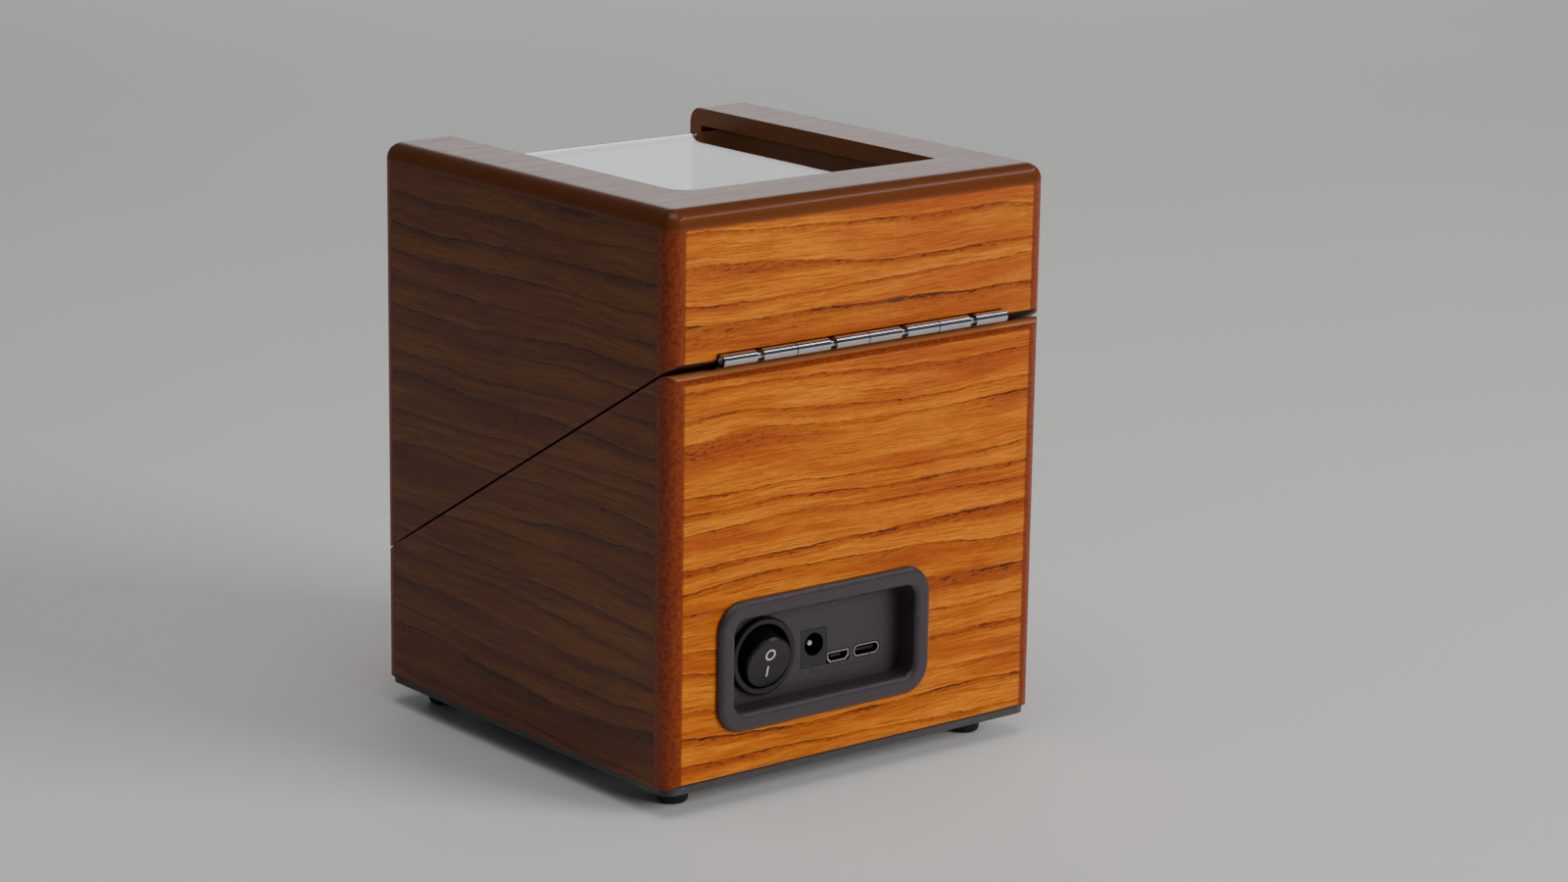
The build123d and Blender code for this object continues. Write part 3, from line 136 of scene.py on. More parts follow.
def colour(name, description, *display):
    """A colour, given as display values of 0 to 255."""
    return FloatVectorProperty(
        name=name,
        description=description,
        default=tone(*display),
        size=4,
        min=0.0,
        max=1.0,
        subtype="COLOR",
    )


def metres(name, description, default):
    """A length in metres."""
    return FloatProperty(name=name, description=description, default=default, unit="LENGTH")


def power(name, description, default):
    """Strength of a light."""
    return FloatProperty(name=name, description=description, default=default, min=0.0)


def angle(name, description, degrees):
    """An angle, given in degrees."""
    return FloatProperty(
        name=name, description=description, default=math.radians(degrees), subtype="ANGLE"
    )


class WinderVeneer(bpy.types.PropertyGroup):
    """Colours and sizes of the wood."""

    honey: colour("Honey", "Light ground of the veneer", 226, 128, 0)
    amber: colour("Amber", "Darker ground of the veneer", 182, 84, 0)
    russet: colour("Russet", "Reddish fibres", 120, 44, 0)
    streak: colour("Streak", "Growth lines", 36, 14, 0)
    pore: colour("Pore", "Open pores", 34, 12, 2)
    stain: colour("Stain", "Plain stained edges", 138, 54, 6)
    stain_deep: colour("Deep stain", "Mottling in the stained edges", 98, 34, 4)
    # Colour of the stained top edges: painted shade with a painted grey sheen, as on the top sheet
    top_edge_painted_shade: colour("Top edge painted shade", "Painted shade and grey sheen on the top edges", 100, 50, 16)
    inside: colour("Inside", "Dark lacquer of the inner faces", 150, 92, 50)
    line_pitch: size("Line pitch", "Mean distance between growth lines", 7.6, 2.0, 20.0)
    edge_width: size("Edge width", "Width of the stained edges", 4.3, 1.0, 10.0)
    edge_softness: size("Edge softness", "Width in which the stain fades out", 1.5, 0.1, 5.0)
    # The side and top sheets are painted darker than the rear one: painted shade, as less light
    # falls on them
    side_painted_shade: share("Side painted shade", "Painted shade of the side sheets, as a share of the rear colour", 0.27)
    top_painted_shade: share("Top painted shade", "Painted shade of the top sheet, as a share of the rear colour", 0.33)
    lacquer: share("Lacquer", "Strength of the lacquer's gloss", 0.26)


class WinderPlastics(bpy.types.PropertyGroup):
    """Colours of the moulded parts."""

    panel: colour("Panel", "Control panel", 56, 49, 53)
    switch: colour("Switch", "Rocker switch", 23, 20, 22)
    battery: colour("Battery box", "Battery box and door", 44, 40, 42)
    inner: colour("Inner parts", "Drum, knobs and bridge", 22, 22, 24)
    marking: colour("Markings", "Printed marks", 226, 226, 228)
    board: colour("Base board", "Flocked base board", 20, 19, 21)


class WinderCushion(bpy.types.PropertyGroup):
    """Shape and colour of the watch cushion."""

    leather: colour("Leather", "Cushion leather", 40, 32, 28)
    thread: colour("Thread", "Sewing thread", 120, 92, 62)
    lining: colour("Lining", "Leather of the inner panel", 30, 26, 25)
    seam_at: size("Seam", "Distance of each sewn seam from the middle", 30.0, 5.0, 37.0)
    piping: size("Piping", "Radius of the piping in the seams", 0.8, 0.2, 3.0)
    stitch: size("Stitch", "Length of one stitch", 1.9, 0.5, 6.0)
    stitch_gap: size("Stitch gap", "Distance between stitches", 1.1, 0.2, 6.0)
    swell: size("Swell", "Most that the filling pushes the leather out", 2.2, 0.0, 6.0)
    pressure: FloatProperty(
        name="Pressure", description="Pressure of the filling", default=4.0, min=0.0, max=20.0
    )
    frames: IntProperty(
        name="Frames", description="Steps of the cloth run", default=20, min=1, max=60
    )


class WinderStage(bpy.types.PropertyGroup):
    """Camera, floor and lights."""

    azimuth: angle("Azimuth", "Where the camera stands", 141.83)
    elevation: angle("Elevation", "Height of the camera above the horizon", 13.86)
    roll: angle("Roll", "Turn of the camera about its view", 0.61)
    distance: metres("Distance", "From the camera to the middle of the box", 1.1006)
    target_height: metres("Target height", "Height that the camera looks at", 0.0789)
    lens: FloatProperty(
        name="Lens",
        description="Focal length",
        default=92.56,
        min=10.0,
        max=300.0,
        subtype="DISTANCE_CAMERA",
    )
    shift: FloatProperty(
        name="Shift", description="Sideways shift of the frame", default=0.0485, min=-1.0, max=1.0
    )
    floor: colour("Floor", "Pale studio floor", 244, 243, 240)
    room: power("Room light", "Strength of the even light", 0.14)
    key: power("Key light", "Power of the large lamp", 34.0)
    sweep: power("Sweep light", "Power of the low lamp beyond the window", 4.2)
    overhead: power("Overhead light", "Power of the lamp above", 9.0)
    glint: power("Glint", "Power of the thin lamp for polished edges", 3.0)


class Wire:
    """A socket of a shader node, so that shader maths reads as Python."""

    def __init__(self, paint, socket):
        self.paint = paint
        self.socket = socket

    def maths(self, operation, first, second=0.0):
        """A Math node on two values."""
        return self.paint.add("ShaderNodeMath", {"operation": operation}, {0: first, 1: second})

    def __add__(self, other):
        return self.maths("ADD", self, other)

    def __sub__(self, other):
        return self.maths("SUBTRACT", self, other)

    def __rsub__(self, other):
        return self.maths("SUBTRACT", other, self)

    def __mul__(self, other):
        return self.maths("MULTIPLY", self, other)

    def __mod__(self, other):
        return self.maths("FLOORED_MODULO", self, other)

    def __gt__(self, other):
        return self.maths("GREATER_THAN", self, other)

    def __lt__(self, other):
        return self.maths("LESS_THAN", self, other)

    def __abs__(self):
        return self.maths("ABSOLUTE", self)

    def larger(self, other):
        """The larger of two values."""
        return self.maths("MAXIMUM", self, other)

    def root(self):
        """The square root."""
        return self.maths("POWER", self, 0.5)

    __radd__ = __add__
    __rmul__ = __mul__


class Paint:
    """One procedural material."""

    def __init__(self, name, sockets):
        self.material = bpy.data.materials.new(name)
        self.material.use_nodes = True
        self.tree = self.material.node_tree
        self.tree.nodes.clear()
        self.shader = self.tree.nodes.new("ShaderNodeBsdfPrincipled")
        output = self.tree.nodes.new("ShaderNodeOutputMaterial")
        self.tree.links.new(self.shader.outputs[0], output.inputs["Surface"])
        for socket, value in sockets.items():
            self.finish(socket, value)

    def feed(self, socket, value):
        """Gives a socket a link or a constant."""
        if isinstance(value, Wire):
            self.tree.links.new(value.socket, socket)
        else:
            socket.default_value = value

    def finish(self, socket, value):
        """Gives a socket of the shader a link or a constant."""
        self.feed(self.shader.inputs[socket], value)

    def add(self, kind, settings=None, sockets=None, output=0):
        """Any node: its type, its settings and the values or links of its sockets."""
        node = self.tree.nodes.new(kind)
        for name, value in (settings or {}).items():
            setattr(node, name, value)
        for name, value in (sockets or {}).items():
            self.feed(node.inputs[name], value)
        return Wire(self, node.outputs[output])

    def spot(self):
        """Place on the object, in millimetres."""
        return self.stretch(self.add("ShaderNodeTexCoord", output="Object"), 1 / MM)

    def facing(self):
        """Direction that the surface faces, in the object's own axes."""
        return self.add("ShaderNodeTexCoord", output="Normal")

    def stretch(self, vector, *factors):
        """A vector times one factor, or one for each axis."""
        wide = factors if len(factors) == 3 else factors * 3
        return self.add("ShaderNodeVectorMath", {"operation": "MULTIPLY"}, {0: vector, 1: wide})

    def split(self, vector):
        """The three parts of a vector."""
        parts = self.add("ShaderNodeSeparateXYZ", sockets={0: vector})
        return [Wire(self, socket) for socket in parts.socket.node.outputs]

    def join(self, *parts):
        """A vector from its three parts."""
        return self.add("ShaderNodeCombineXYZ", sockets=dict(enumerate(parts)))

    def noise(self, vector, detail=2.0, rough=0.5):
        """Smooth noise around one half, one bump to each unit of the vector."""
        return self.add(
            "ShaderNodeTexNoise",
            sockets={"Vector": vector, "Scale": 1.0, "Detail": detail, "Roughness": rough},
        )

    def cells(self, vector, feature="F1", spread=1.0, metric="EUCLIDEAN"):
        """Distance in a pattern of cells, one to each unit of the vector."""
        return self.add(
            "ShaderNodeTexVoronoi",
            {"feature": feature, "distance": metric},
            {"Vector": vector, "Scale": 1.0, "Randomness": spread},
            output="Distance",
        )

    def rise(self, value, low, high):
        """Smooth step from 0 at low to 1 at high."""
        return self.add(
            "ShaderNodeMapRange",
            {"interpolation_type": "SMOOTHSTEP"},
            {"Value": value, "From Min": low, "From Max": high},
        )

    def mix(self, amount, first, second):
        """A colour between two colours."""
        return self.add(
            "ShaderNodeMix", {"data_type": "RGBA"}, {0: amount, 6: first, 7: second}, output=2
        )

    def relief(self, height, depth, strength=1.0):
        """Normals of a relief whose full depth is given in millimetres."""
        bump = self.add(
            "ShaderNodeBump",
            sockets={"Height": height, "Distance": depth * MM, "Strength": strength},
        )
        self.finish("Normal", bump)


def cover(mesh, paint):
    """Gives a mesh its one material."""
    mesh.materials.clear()
    mesh.materials.append(paint.material)


def coat(paint, *names):
    """Gives CAD nodes a material."""
    for name in names:
        cover(NODES[name].data, paint)


def shaded(light, share_left):
    """A colour at a share of its strength."""
    return tuple(part * share_left for part in light[:3]) + (1.0,)


def lifted(ground, factor, added):
    """A lighter shade of a colour."""
    return tuple(min(1.0, part * factor + added) for part in ground[:3]) + (1.0,)


def veneer(look):
    """Streaked lacquered veneer with stained edges and dark inner faces."""
    paint = Paint(
        "veneer",
        {"Coat IOR": 1.5, "Coat Roughness": 0.12, "IOR": 1.45, "Specular IOR Level": 0.2},
    )
    x, y, z = paint.split(paint.spot())
    facing = paint.split(paint.facing())
    wood, line, pores = veneer_grain(paint, look, x, y, z, facing)
    wood, seam = stained_edges(paint, look, wood, x, y, z)
    wood = inner_faces(paint, look, wood, x, y, z, facing)
    paint.finish("Base Color", wood)

    # Lacquer: even gloss, a little duller in the pores
    cloud = paint.noise(paint.stretch(paint.spot(), 0.05), 3.0)
    paint.finish("Roughness", 0.34 + (cloud - 0.5) * 0.16 + pores * 0.10)
    paint.finish("Coat Weight", look.lacquer + (cloud - 0.5) * 0.20 - pores * 0.10)
    peel = paint.noise(paint.stretch(paint.spot(), 0.35), 2.0)
    paint.relief(peel * 0.5 - pores * 0.6 - line * 0.4 - seam * 0.8, 0.05, 0.5)
    return paint


def veneer_grain(paint, look, x, y, z, facing):
    """The veneer's colour, and masks of its growth lines and pores."""
    # Each sheet has its own pattern. The grain runs along Y on the sides, and else along X
    square_on = 0.72
    side = abs(facing[0]) > square_on
    top = abs(facing[2]) > square_on
    along = x + (y - x) * side
    across = z + (y - z) * top
    seed = side * 41.3 + top * 83.7 + side * (x > 0.0) * 17.9 + (y > 0.0) * (1.0 - side) * 29.1

    # Growth lines: a saw-tooth across the grain, wavy, uneven and broken
    sway = paint.noise(paint.join(along * 0.008, across * 0.02, seed), 2.0)
    ripple = paint.noise(paint.join(along * 0.045, across * 0.13, seed + 7.0), 3.0)
    jitter = paint.noise(paint.join(along * 0.4, across * 0.7, seed + 5.0), 2.0)
    sway_reach, ripple_reach, jitter_reach = 14.0, 2.2, 0.8
    lay = (
        across
        + (sway - 0.5) * sway_reach
        + (ripple - 0.5) * ripple_reach
        + (jitter - 0.5) * jitter_reach
    )
    crowd = paint.noise(paint.join(lay * 0.075, along * 0.004, seed + 3.0), 1.0)
    ring = (lay * (1.0 / look.line_pitch) + crowd * 2.6) % 1.0
    shut = 1.0 - paint.rise(ring, 0.982, 1.0)
    halo = paint.rise(ring, 0.66, 0.97) * shut
    worn = paint.noise(paint.join(along * 0.05, lay * 0.2, seed + 11.0), 3.0)
    broken = paint.rise(worn, 0.4, 0.6)
    start = 0.965 - broken * 0.035
    thin = paint.rise(ring, start, start + 0.02) * shut
    fray = paint.noise(paint.join(along * 0.3, across * 2.8, seed + 13.0), 2.0)
    line = thin * (0.35 + broken * 0.65) * paint.rise(fray, 0.34, 0.48)

    # Pores: short dashes, crowded beside the lines
    slant = across + along * 0.12
    dash = paint.noise(paint.join(along * 0.28, slant * 2.4, seed + 19.0), 1.0)
    fine_dash = paint.noise(paint.join(along * 0.5, slant * 3.8, seed + 23.0), 1.0)
    dashes = paint.rise(dash, 0.60, 0.66)
    fine_dashes = paint.rise(fine_dash, 0.60, 0.68)
    patch = paint.noise(paint.join(along * 0.014, lay * 0.2, seed + 31.0), 2.0)
    crowded = halo * paint.rise(patch, 0.34, 0.58)
    pores = dashes * (0.14 + crowded * 0.86) + fine_dashes * (0.20 + halo * 0.5)

    # Ground: honey to amber in long patches, with reddish fibres
    ground = paint.rise(patch + (ring - 0.5) * 0.12, 0.30, 0.72)
    fibre = paint.noise(paint.join(along * 0.04, lay * 1.9, seed + 37.0), 4.0, 0.65)
    hair = paint.noise(paint.join(along * 0.11, across * 5.0, seed + 43.0), 3.0, 0.65)
    # Each colour gets darker copies on the side and top sheets: painted shade for the faces that
    # get less light
    honey, amber, russet = [
        paint.mix(
            top,
            paint.mix(side, light, shaded(light, look.side_painted_shade)),
            shaded(light, look.top_painted_shade),
        )
        for light in (look.honey, look.amber, look.russet)
    ]
    wood = paint.mix(ground, honey, amber)
    wood = paint.mix(paint.rise(fibre, 0.45, 0.66) * 0.55, wood, russet)
    wood = paint.mix(paint.rise(hair, 0.46, 0.64) * 0.55, wood, russet)
    wood = paint.mix(halo * 0.42, wood, russet)
    wood = paint.mix(line * 0.82, wood, look.streak)
    wood = paint.mix(pores * 0.90, wood, look.pore)
    return wood, line, pores


def stained_edges(paint, look, wood, x, y, z):
    """The colour with plain stained edges, and a mask of the line where the veneer ends."""
    rim = look.edge_width
    fade = rim + look.edge_softness
    near_top = paint.rise(z, WOOD_TOP - fade, WOOD_TOP - rim)
    past = (
        paint.rise(abs(x), WOOD_SIDE - fade, WOOD_SIDE - rim)
        + paint.rise(abs(y), WOOD_REAR - fade, WOOD_REAR - rim)
        + near_top
    )
    edge = paint.rise(past, 1.05, 1.95)
    # The rounded lips of the cut at the rear and the front: how high and how deep each stain goes
    lips = ((CUT_REAR, y, 2.5, 2.6), (CUT_FRONT, y * -1.0, 1.9, 1.8))
    for cut_at, outward, height, depth in lips:
        beside = 1.0 - paint.rise(abs(z - cut_at), height, height + 0.4)
        outer = paint.rise(outward, WOOD_REAR - depth, WOOD_REAR - depth + 0.4)
        edge = edge.larger(beside * outer)
    seam = edge * (1.0 - edge) * 4.0
    mottle = paint.noise(paint.stretch(paint.spot(), 0.9), 4.0, 0.6)
    stain = paint.mix(paint.rise(mottle, 0.35, 0.7), look.stain, look.stain_deep)
    # The top edges take a browner, duller colour: painted shade with a painted grey sheen
    stain = paint.mix(near_top, stain, look.top_edge_painted_shade)
    wood = paint.mix(edge, wood, stain)
    wood = paint.mix(seam * 0.30, wood, look.streak)
    return wood, seam


def inner_faces(paint, look, wood, x, y, z, facing):
    """The colour with brown inner walls and window sides, and black faces along the cut."""
    nx, ny, nz = [abs(part) for part in facing]
    rim = look.edge_width
    inner_x = (nx > 0.5) * (abs(x) < WOOD_SIDE - rim)
    inner_y = (ny > 0.6) * (abs(y) < WOOD_REAR - rim)
    inner_z = (nz > 0.5) * (z < WOOD_TOP - rim) * (z > WOOD_BOTTOM + 1.0)
    inside = inner_x.larger(inner_y).larger(inner_z)
    wood = paint.mix(inside, wood, look.inside)
    slanted = facing[1] * facing[2] < -0.38
    return paint.mix(slanted, wood, look.pore)


def moulded(name, ground, grain, depth, rough, painted_glint_and_polish=0.0, wear=0.08):
    """Moulded plastic: a pebbled skin of the given grain and depth in millimetres, with painted
    glints on the pebble tops.
    """
    paint = Paint(name, {"IOR": 1.5})
    spot = paint.spot()
    pebble = paint.noise(paint.stretch(spot, 1.0 / grain), 3.0, 0.6)
    cloud = paint.noise(paint.stretch(spot, 0.06), 3.0)
    light = lifted(ground, 1.7, 0.012)
    # Pebble tops are painted lighter as painted glints, and cloudy patches lighter as wear
    glint = paint.rise(pebble, 0.5, 0.72) * painted_glint_and_polish + paint.rise(cloud, 0.45, 0.75) * wear
    paint.finish("Base Color", paint.mix(glint, ground, light))
    polished = paint.rise(pebble, 0.5, 0.75) * painted_glint_and_polish
    paint.finish("Roughness", rough + (cloud - 0.5) * 0.18 - polished * 0.3)
    paint.relief(pebble, depth)
    return paint


def leather(name, ground, grain=1.1, depth=0.12, rough=0.5):
    """Leather: rounded pebbles between fine creases, with soft wear."""
    paint = Paint(name, {"IOR": 1.48, "Sheen Weight": 0.15, "Sheen Roughness": 0.4})
    spot = paint.spot()
    bent = paint.add(
        "ShaderNodeVectorMath",
        {"operation": "ADD"},
        {0: paint.stretch(spot, 1.0 / grain), 1: paint.noise(paint.stretch(spot, 0.5), 2.0)},
    )
    crease = paint.rise(paint.cells(bent, "DISTANCE_TO_EDGE"), 0.0, 0.22)
    fold = paint.noise(paint.stretch(spot, 0.16, 0.3, 0.3), 3.0)
    worn = paint.rise(fold, 0.45, 0.75)
    skin = paint.mix(worn * 0.6, ground, lifted(ground, 1.6, 0.006))
    # The fine creases between the pebbles are painted darker: painted shade in the creases
    paint.finish("Base Color", paint.mix((1.0 - crease) * 0.8, skin, shaded(ground, 0.35)))
    paint.finish("Roughness", rough + (1.0 - crease) * 0.25 - worn * 0.08)
    paint.relief(crease + fold * 0.6, depth)
    return paint


def metal(name, ground, rough, marks, scratch=0.10, metallic=1.0, depth=0.004):
    """Metal. marks says how tightly its scratches are packed along each axis, per millimetre."""
    paint = Paint(name, {"Metallic": metallic})
    spot = paint.spot()
    hair = paint.noise(paint.stretch(spot, *marks), 4.0, 0.65)
    smudge = paint.noise(paint.stretch(spot, 0.12), 3.0)
    dull = paint.rise(smudge, 0.42, 0.8) * 0.5
    paint.finish("Base Color", paint.mix(dull, ground, shaded(ground, 0.62)))
    paint.finish("Roughness", rough + (hair - 0.5) * scratch + (smudge - 0.5) * 0.14)
    paint.relief(hair, depth)
    return paint


def rubber(name, ground):
    """Dull rubber with dust in its grain."""
    paint = Paint(name, {"IOR": 1.5})
    spot = paint.spot()
    grain = paint.noise(paint.stretch(spot, 2.2), 4.0, 0.6)
    dust = paint.rise(paint.noise(paint.stretch(spot, 0.5), 3.0), 0.5, 0.8)
    paint.finish("Base Color", paint.mix(dust * 0.5, ground, lifted(ground, 1.6, 0.02)))
    paint.finish("Roughness", 0.62 + (grain - 0.5) * 0.3)
    paint.relief(grain, 0.05)
    return paint


def flock(name, ground, fleck):
    """Short dark pile with pale flecks."""
    paint = Paint(
        name, {"IOR": 1.4, "Sheen Weight": 0.5, "Sheen Roughness": 0.6, "Roughness": 0.92}
    )
    spot = paint.spot()
    pile = paint.noise(paint.stretch(spot, 4.0), 3.0, 0.7)
    speck = paint.rise(paint.noise(paint.stretch(spot, 2.2), 2.0, 0.7), 0.60, 0.72)
    tuft = paint.noise(paint.stretch(spot, 0.25), 3.0)
    base = paint.mix(paint.rise(tuft, 0.35, 0.65), ground, shaded(ground, 0.4))
    paint.finish("Base Color", paint.mix(speck * 0.55, base, fleck))
    paint.relief(pile, 0.28)
    return paint


def clear_sheet():
    """Clear acrylic with the faintest dust and rub marks."""
    paint = Paint(
        "clear_acrylic",
        {"Base Color": tone(244, 248, 248), "Transmission Weight": 1.0, "IOR": 1.49},
    )
    spot = paint.spot()
    rub = paint.noise(paint.stretch(spot, 0.4, 0.03, 0.4), 4.0, 0.7)
    dust = paint.rise(paint.noise(paint.stretch(spot, 1.6), 2.0, 0.7), 0.70, 0.78)
    paint.finish("Roughness", 0.012 + paint.rise(rub, 0.55, 0.8) * 0.03 + dust * 0.25)
    return paint


def circuit(name):
    """Green circuit board: tracks, pads and solder resist."""
    paint = Paint(name, {"Coat Weight": 0.3, "Coat Roughness": 0.2, "IOR": 1.5})
    spot = paint.spot()
    blocks = paint.cells(paint.stretch(spot, 0.5), spread=0.55, metric="MANHATTAN")
    track = paint.rise(abs((blocks * 3.0) % 1.0 - 0.5), 0.36, 0.42)
    pads = 1.0 - paint.rise(paint.cells(paint.stretch(spot, 0.39), spread=0.0), 0.13, 0.16)
    resist = paint.mix(track * 0.6, tone(12, 62, 34), tone(38, 104, 56))
    paint.finish("Base Color", paint.mix(pads, resist, tone(196, 190, 172)))
    paint.finish("Metallic", pads)
    paint.finish("Roughness", 0.36 - pads * 0.08)
    paint.relief(track * 0.5 + pads, 0.04)
    return paint


def turned(name, ground, rough, centre, axis_rows):
    """Metal with the fine rings of a lathe, about an axis through centre."""
    paint = Paint(name, {"Metallic": 1.0})
    spot = paint.spot()
    x, y, z = paint.split(spot)
    first, second = [
        (x - centre[0]) * row[0] + (y - centre[1]) * row[1] + (z - centre[2]) * row[2]
        for row in axis_rows
    ]
    from_axis = (first * first + second * second).root()
    rings = paint.noise(paint.join(from_axis * 9.0, 0.0, 0.0), 3.0, 0.7)
    smudge = paint.noise(paint.stretch(spot, 0.2), 3.0)
    dull = paint.rise(smudge, 0.4, 0.8) * 0.6
    paint.finish("Base Color", paint.mix(dull, ground, shaded(ground, 0.55)))
    paint.finish("Roughness", rough + (rings - 0.5) * 0.35 + (smudge - 0.5) * 0.12)
    paint.relief(rings, 0.02)
    return paint


def printed(name, ink):
    """Printed marks: matt ink with slightly uneven cover."""
    paint = Paint(name, {"IOR": 1.45})
    cover = paint.noise(paint.stretch(paint.spot(), 3.0), 3.0, 0.6)
    worn = paint.rise(cover, 0.35, 0.7)
    paint.finish("Base Color", paint.mix(worn, ink, shaded(ink, 0.72)))
    paint.finish("Roughness", 0.5 + (cover - 0.5) * 0.2)
    return paint


def placed(name, data):
    """A new object in the scene."""
    piece = bpy.data.objects.new(name, data)
    bpy.context.scene.collection.objects.link(piece)
    return piece


def link(name, mesh, paint, body):
    """Puts a finished mesh in the scene: painted, riding on its body."""
    piece = placed(name, mesh)
    cover(mesh, paint)
    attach(piece, body)
    return piece


def mesh_of(name, build):
    """A mesh filled by a function that is given its bmesh."""
    mesh = bpy.data.meshes.new(name)
    shape = bmesh.new()
    build(shape)
    bmesh.ops.recalc_face_normals(shape, faces=shape.faces)
    shape.to_mesh(mesh)
    shape.free()
    return mesh


def band(shape, path, closed, width, height, place):
    """A raised line of chamfered section along a flat path. All sizes are in millimetres.

    place turns a step across, up and out from the face into a point of the scene.
    """
    count = len(path)
    profile = ((-0.5, 0.0), (-0.5, 0.7), (-0.32, 1.0), (0.32, 1.0), (0.5, 0.7), (0.5, 0.0))
    sections = []
    for i, (across, up) in enumerate(path):
        before = path[(i - 1) % count] if closed or i else None
        after = path[(i + 1) % count] if closed or i < count - 1 else None
        runs = []
        for start, end in ((before, (across, up)), ((across, up), after)):
            if start and end:
                runs.append((Vector(end) - Vector(start)).normalized())
        normals = [Vector((-run.y, run.x)) for run in runs]
        mitre = sum(normals, Vector((0.0, 0.0))).normalized()
        stretch = 1 / max(0.3, mitre.dot(normals[0]))
        aside = mitre * width * stretch
        sections.append(
            [
                shape.verts.new(place(across + aside.x * part, up + aside.y * part, height * rise))
                for part, rise in profile
            ]
        )
    for i in range(count if closed else count - 1):
        here, there = sections[i], sections[(i + 1) % count]
        for j in range(len(profile)):
            k = (j + 1) % len(profile)
            shape.faces.new((here[j], there[j], there[k], here[k]))
    if not closed:
        shape.faces.new(sections[0])
        shape.faces.new(list(reversed(sections[-1])))


def circle(radius, sides=48, centre=(0.0, 0.0)):
    """Points of a circle."""
    return [
        (
            centre[0] + radius * math.cos(2 * math.pi * i / sides),
            centre[1] + radius * math.sin(2 * math.pi * i / sides),
        )
        for i in range(sides)
    ]


def thread_stitch(shape, start, end, out, radius):
    """One stitch: a short thread that dips into the leather at both ends."""
    run = end - start
    aside = run.normalized().cross(out).normalized()
    sides = 8
    rows = []
    for along, girth, lift in (
        (0.0, 0.45, -0.9),
        (0.12, 0.85, -0.1),
        (0.32, 1.0, 0.35),
        (0.5, 1.0, 0.45),
        (0.68, 1.0, 0.35),
        (0.88, 0.85, -0.1),
        (1.0, 0.45, -0.9),
    ):
        middle = start + run * along + out * radius * lift
        section = circle(radius * girth, sides)
        rows.append([shape.verts.new(middle + aside * x + out * y) for x, y in section])
    for here, there in zip(rows, rows[1:]):
        for i in range(sides):
            k = (i + 1) % sides
            shape.faces.new((here[i], there[i], there[k], here[k]))
    shape.faces.new(rows[0])
    shape.faces.new(list(reversed(rows[-1])))


def smooth(mesh):
    """Smooth shading all over."""
    mesh.polygons.foreach_set("use_smooth", [True] * len(mesh.polygons))
    mesh.update()


def baked(piece, name):
    """The mesh of a piece with its modifiers applied."""
    bpy.context.view_layer.update()
    graph = bpy.context.evaluated_depsgraph_get()
    mesh = bpy.data.meshes.new_from_object(piece.evaluated_get(graph))
    mesh.name = name
    return mesh


def settle(piece):
    """Applies the modifiers of a piece to its mesh."""
    mesh = baked(piece, piece.name)
    piece.modifiers.clear()
    piece.data = mesh
    return mesh


class WINDER_OT_dress_wood(bpy.types.Operator):
    """Veneer on the box and its lid."""

    bl_idname = "winder.dress_wood"
    bl_label = "Dress the wood"

    def execute(self, context):
        coat(veneer(context.scene.winder_veneer), "case_base", "lid_shell")
        return {"FINISHED"}


class WINDER_OT_dress_pane(bpy.types.Operator):
    """Clear bent pane in the lid."""

    bl_idname = "winder.dress_pane"
    bl_label = "Dress the pane"

    def execute(self, context):
        coat(clear_sheet(), "window")
        return {"FINISHED"}


class WINDER_OT_dress_hardware(bpy.types.Operator):
    """Hinge, screws and magnets."""

    bl_idname = "winder.dress_hardware"
    bl_label = "Dress the hardware"

    def execute(self, context):
        chrome = metal("chrome", tone(184, 186, 191), 0.10, (0.15, 3.0, 3.0), 0.10)
        coat(chrome, "hinge_leaf_upper", "hinge_leaf_lower", "hinge_pin")
        steel = metal("screw_steel", tone(150, 150, 152), 0.30, (3.0, 3.0, 3.0), 0.2)
        coat(
            steel,
            "hinge_screws_upper",
            "hinge_screws_lower",
            "panel_screws",
            "pulley_screws",
            "mechanism_screws",
            "gearbox_screws",
            "board_screws",
            "power_screws",
        )
        dark_steel = metal("dark_screws", tone(122, 118, 116), 0.34, (2.0, 2.0, 2.0), 0.25)
        coat(dark_steel, "battery_screws")
        nickel = metal("nickel", tone(196, 192, 184), 0.2, (1.0, 1.0, 1.0), 0.12)
        coat(nickel, "rim_magnet", "lid_magnet")
        return {"FINISHED"}


class WINDER_OT_dress_underside(bpy.types.Operator):
    """Flocked board, rubber feet, rim pads, battery box and its fittings."""

    bl_idname = "winder.dress_underside"
    bl_label = "Dress the underside"

    def execute(self, context):
        look = context.scene.winder_plastics
        coat(flock("flocked_board", look.board, tone(92, 88, 92)), "base_board")
        coat(flock("batten_flock", tone(34, 31, 30), tone(60, 56, 54)), "panel_battens")
        coat(
            rubber("foot_rubber", tone(24, 24, 25)),
            "foot_front_left",
            "foot_front_right",
            "foot_rear_left",
            "foot_rear_right",
        )
        coat(flock("rim_felt", tone(30, 26, 24), tone(70, 62, 58)), "rim_pads")
        box = moulded("battery_plastic", look.battery, 1.3, 0.30, 0.46, 0.5, 0.1)
        coat(box, "battery_tray", "battery_door", "battery_latch")
        plate = metal("contact_plate", tone(198, 190, 170), 0.24, (0.3, 3.0, 0.3), 0.2)
        coat(plate, "battery_contacts")
        return {"FINISHED"}


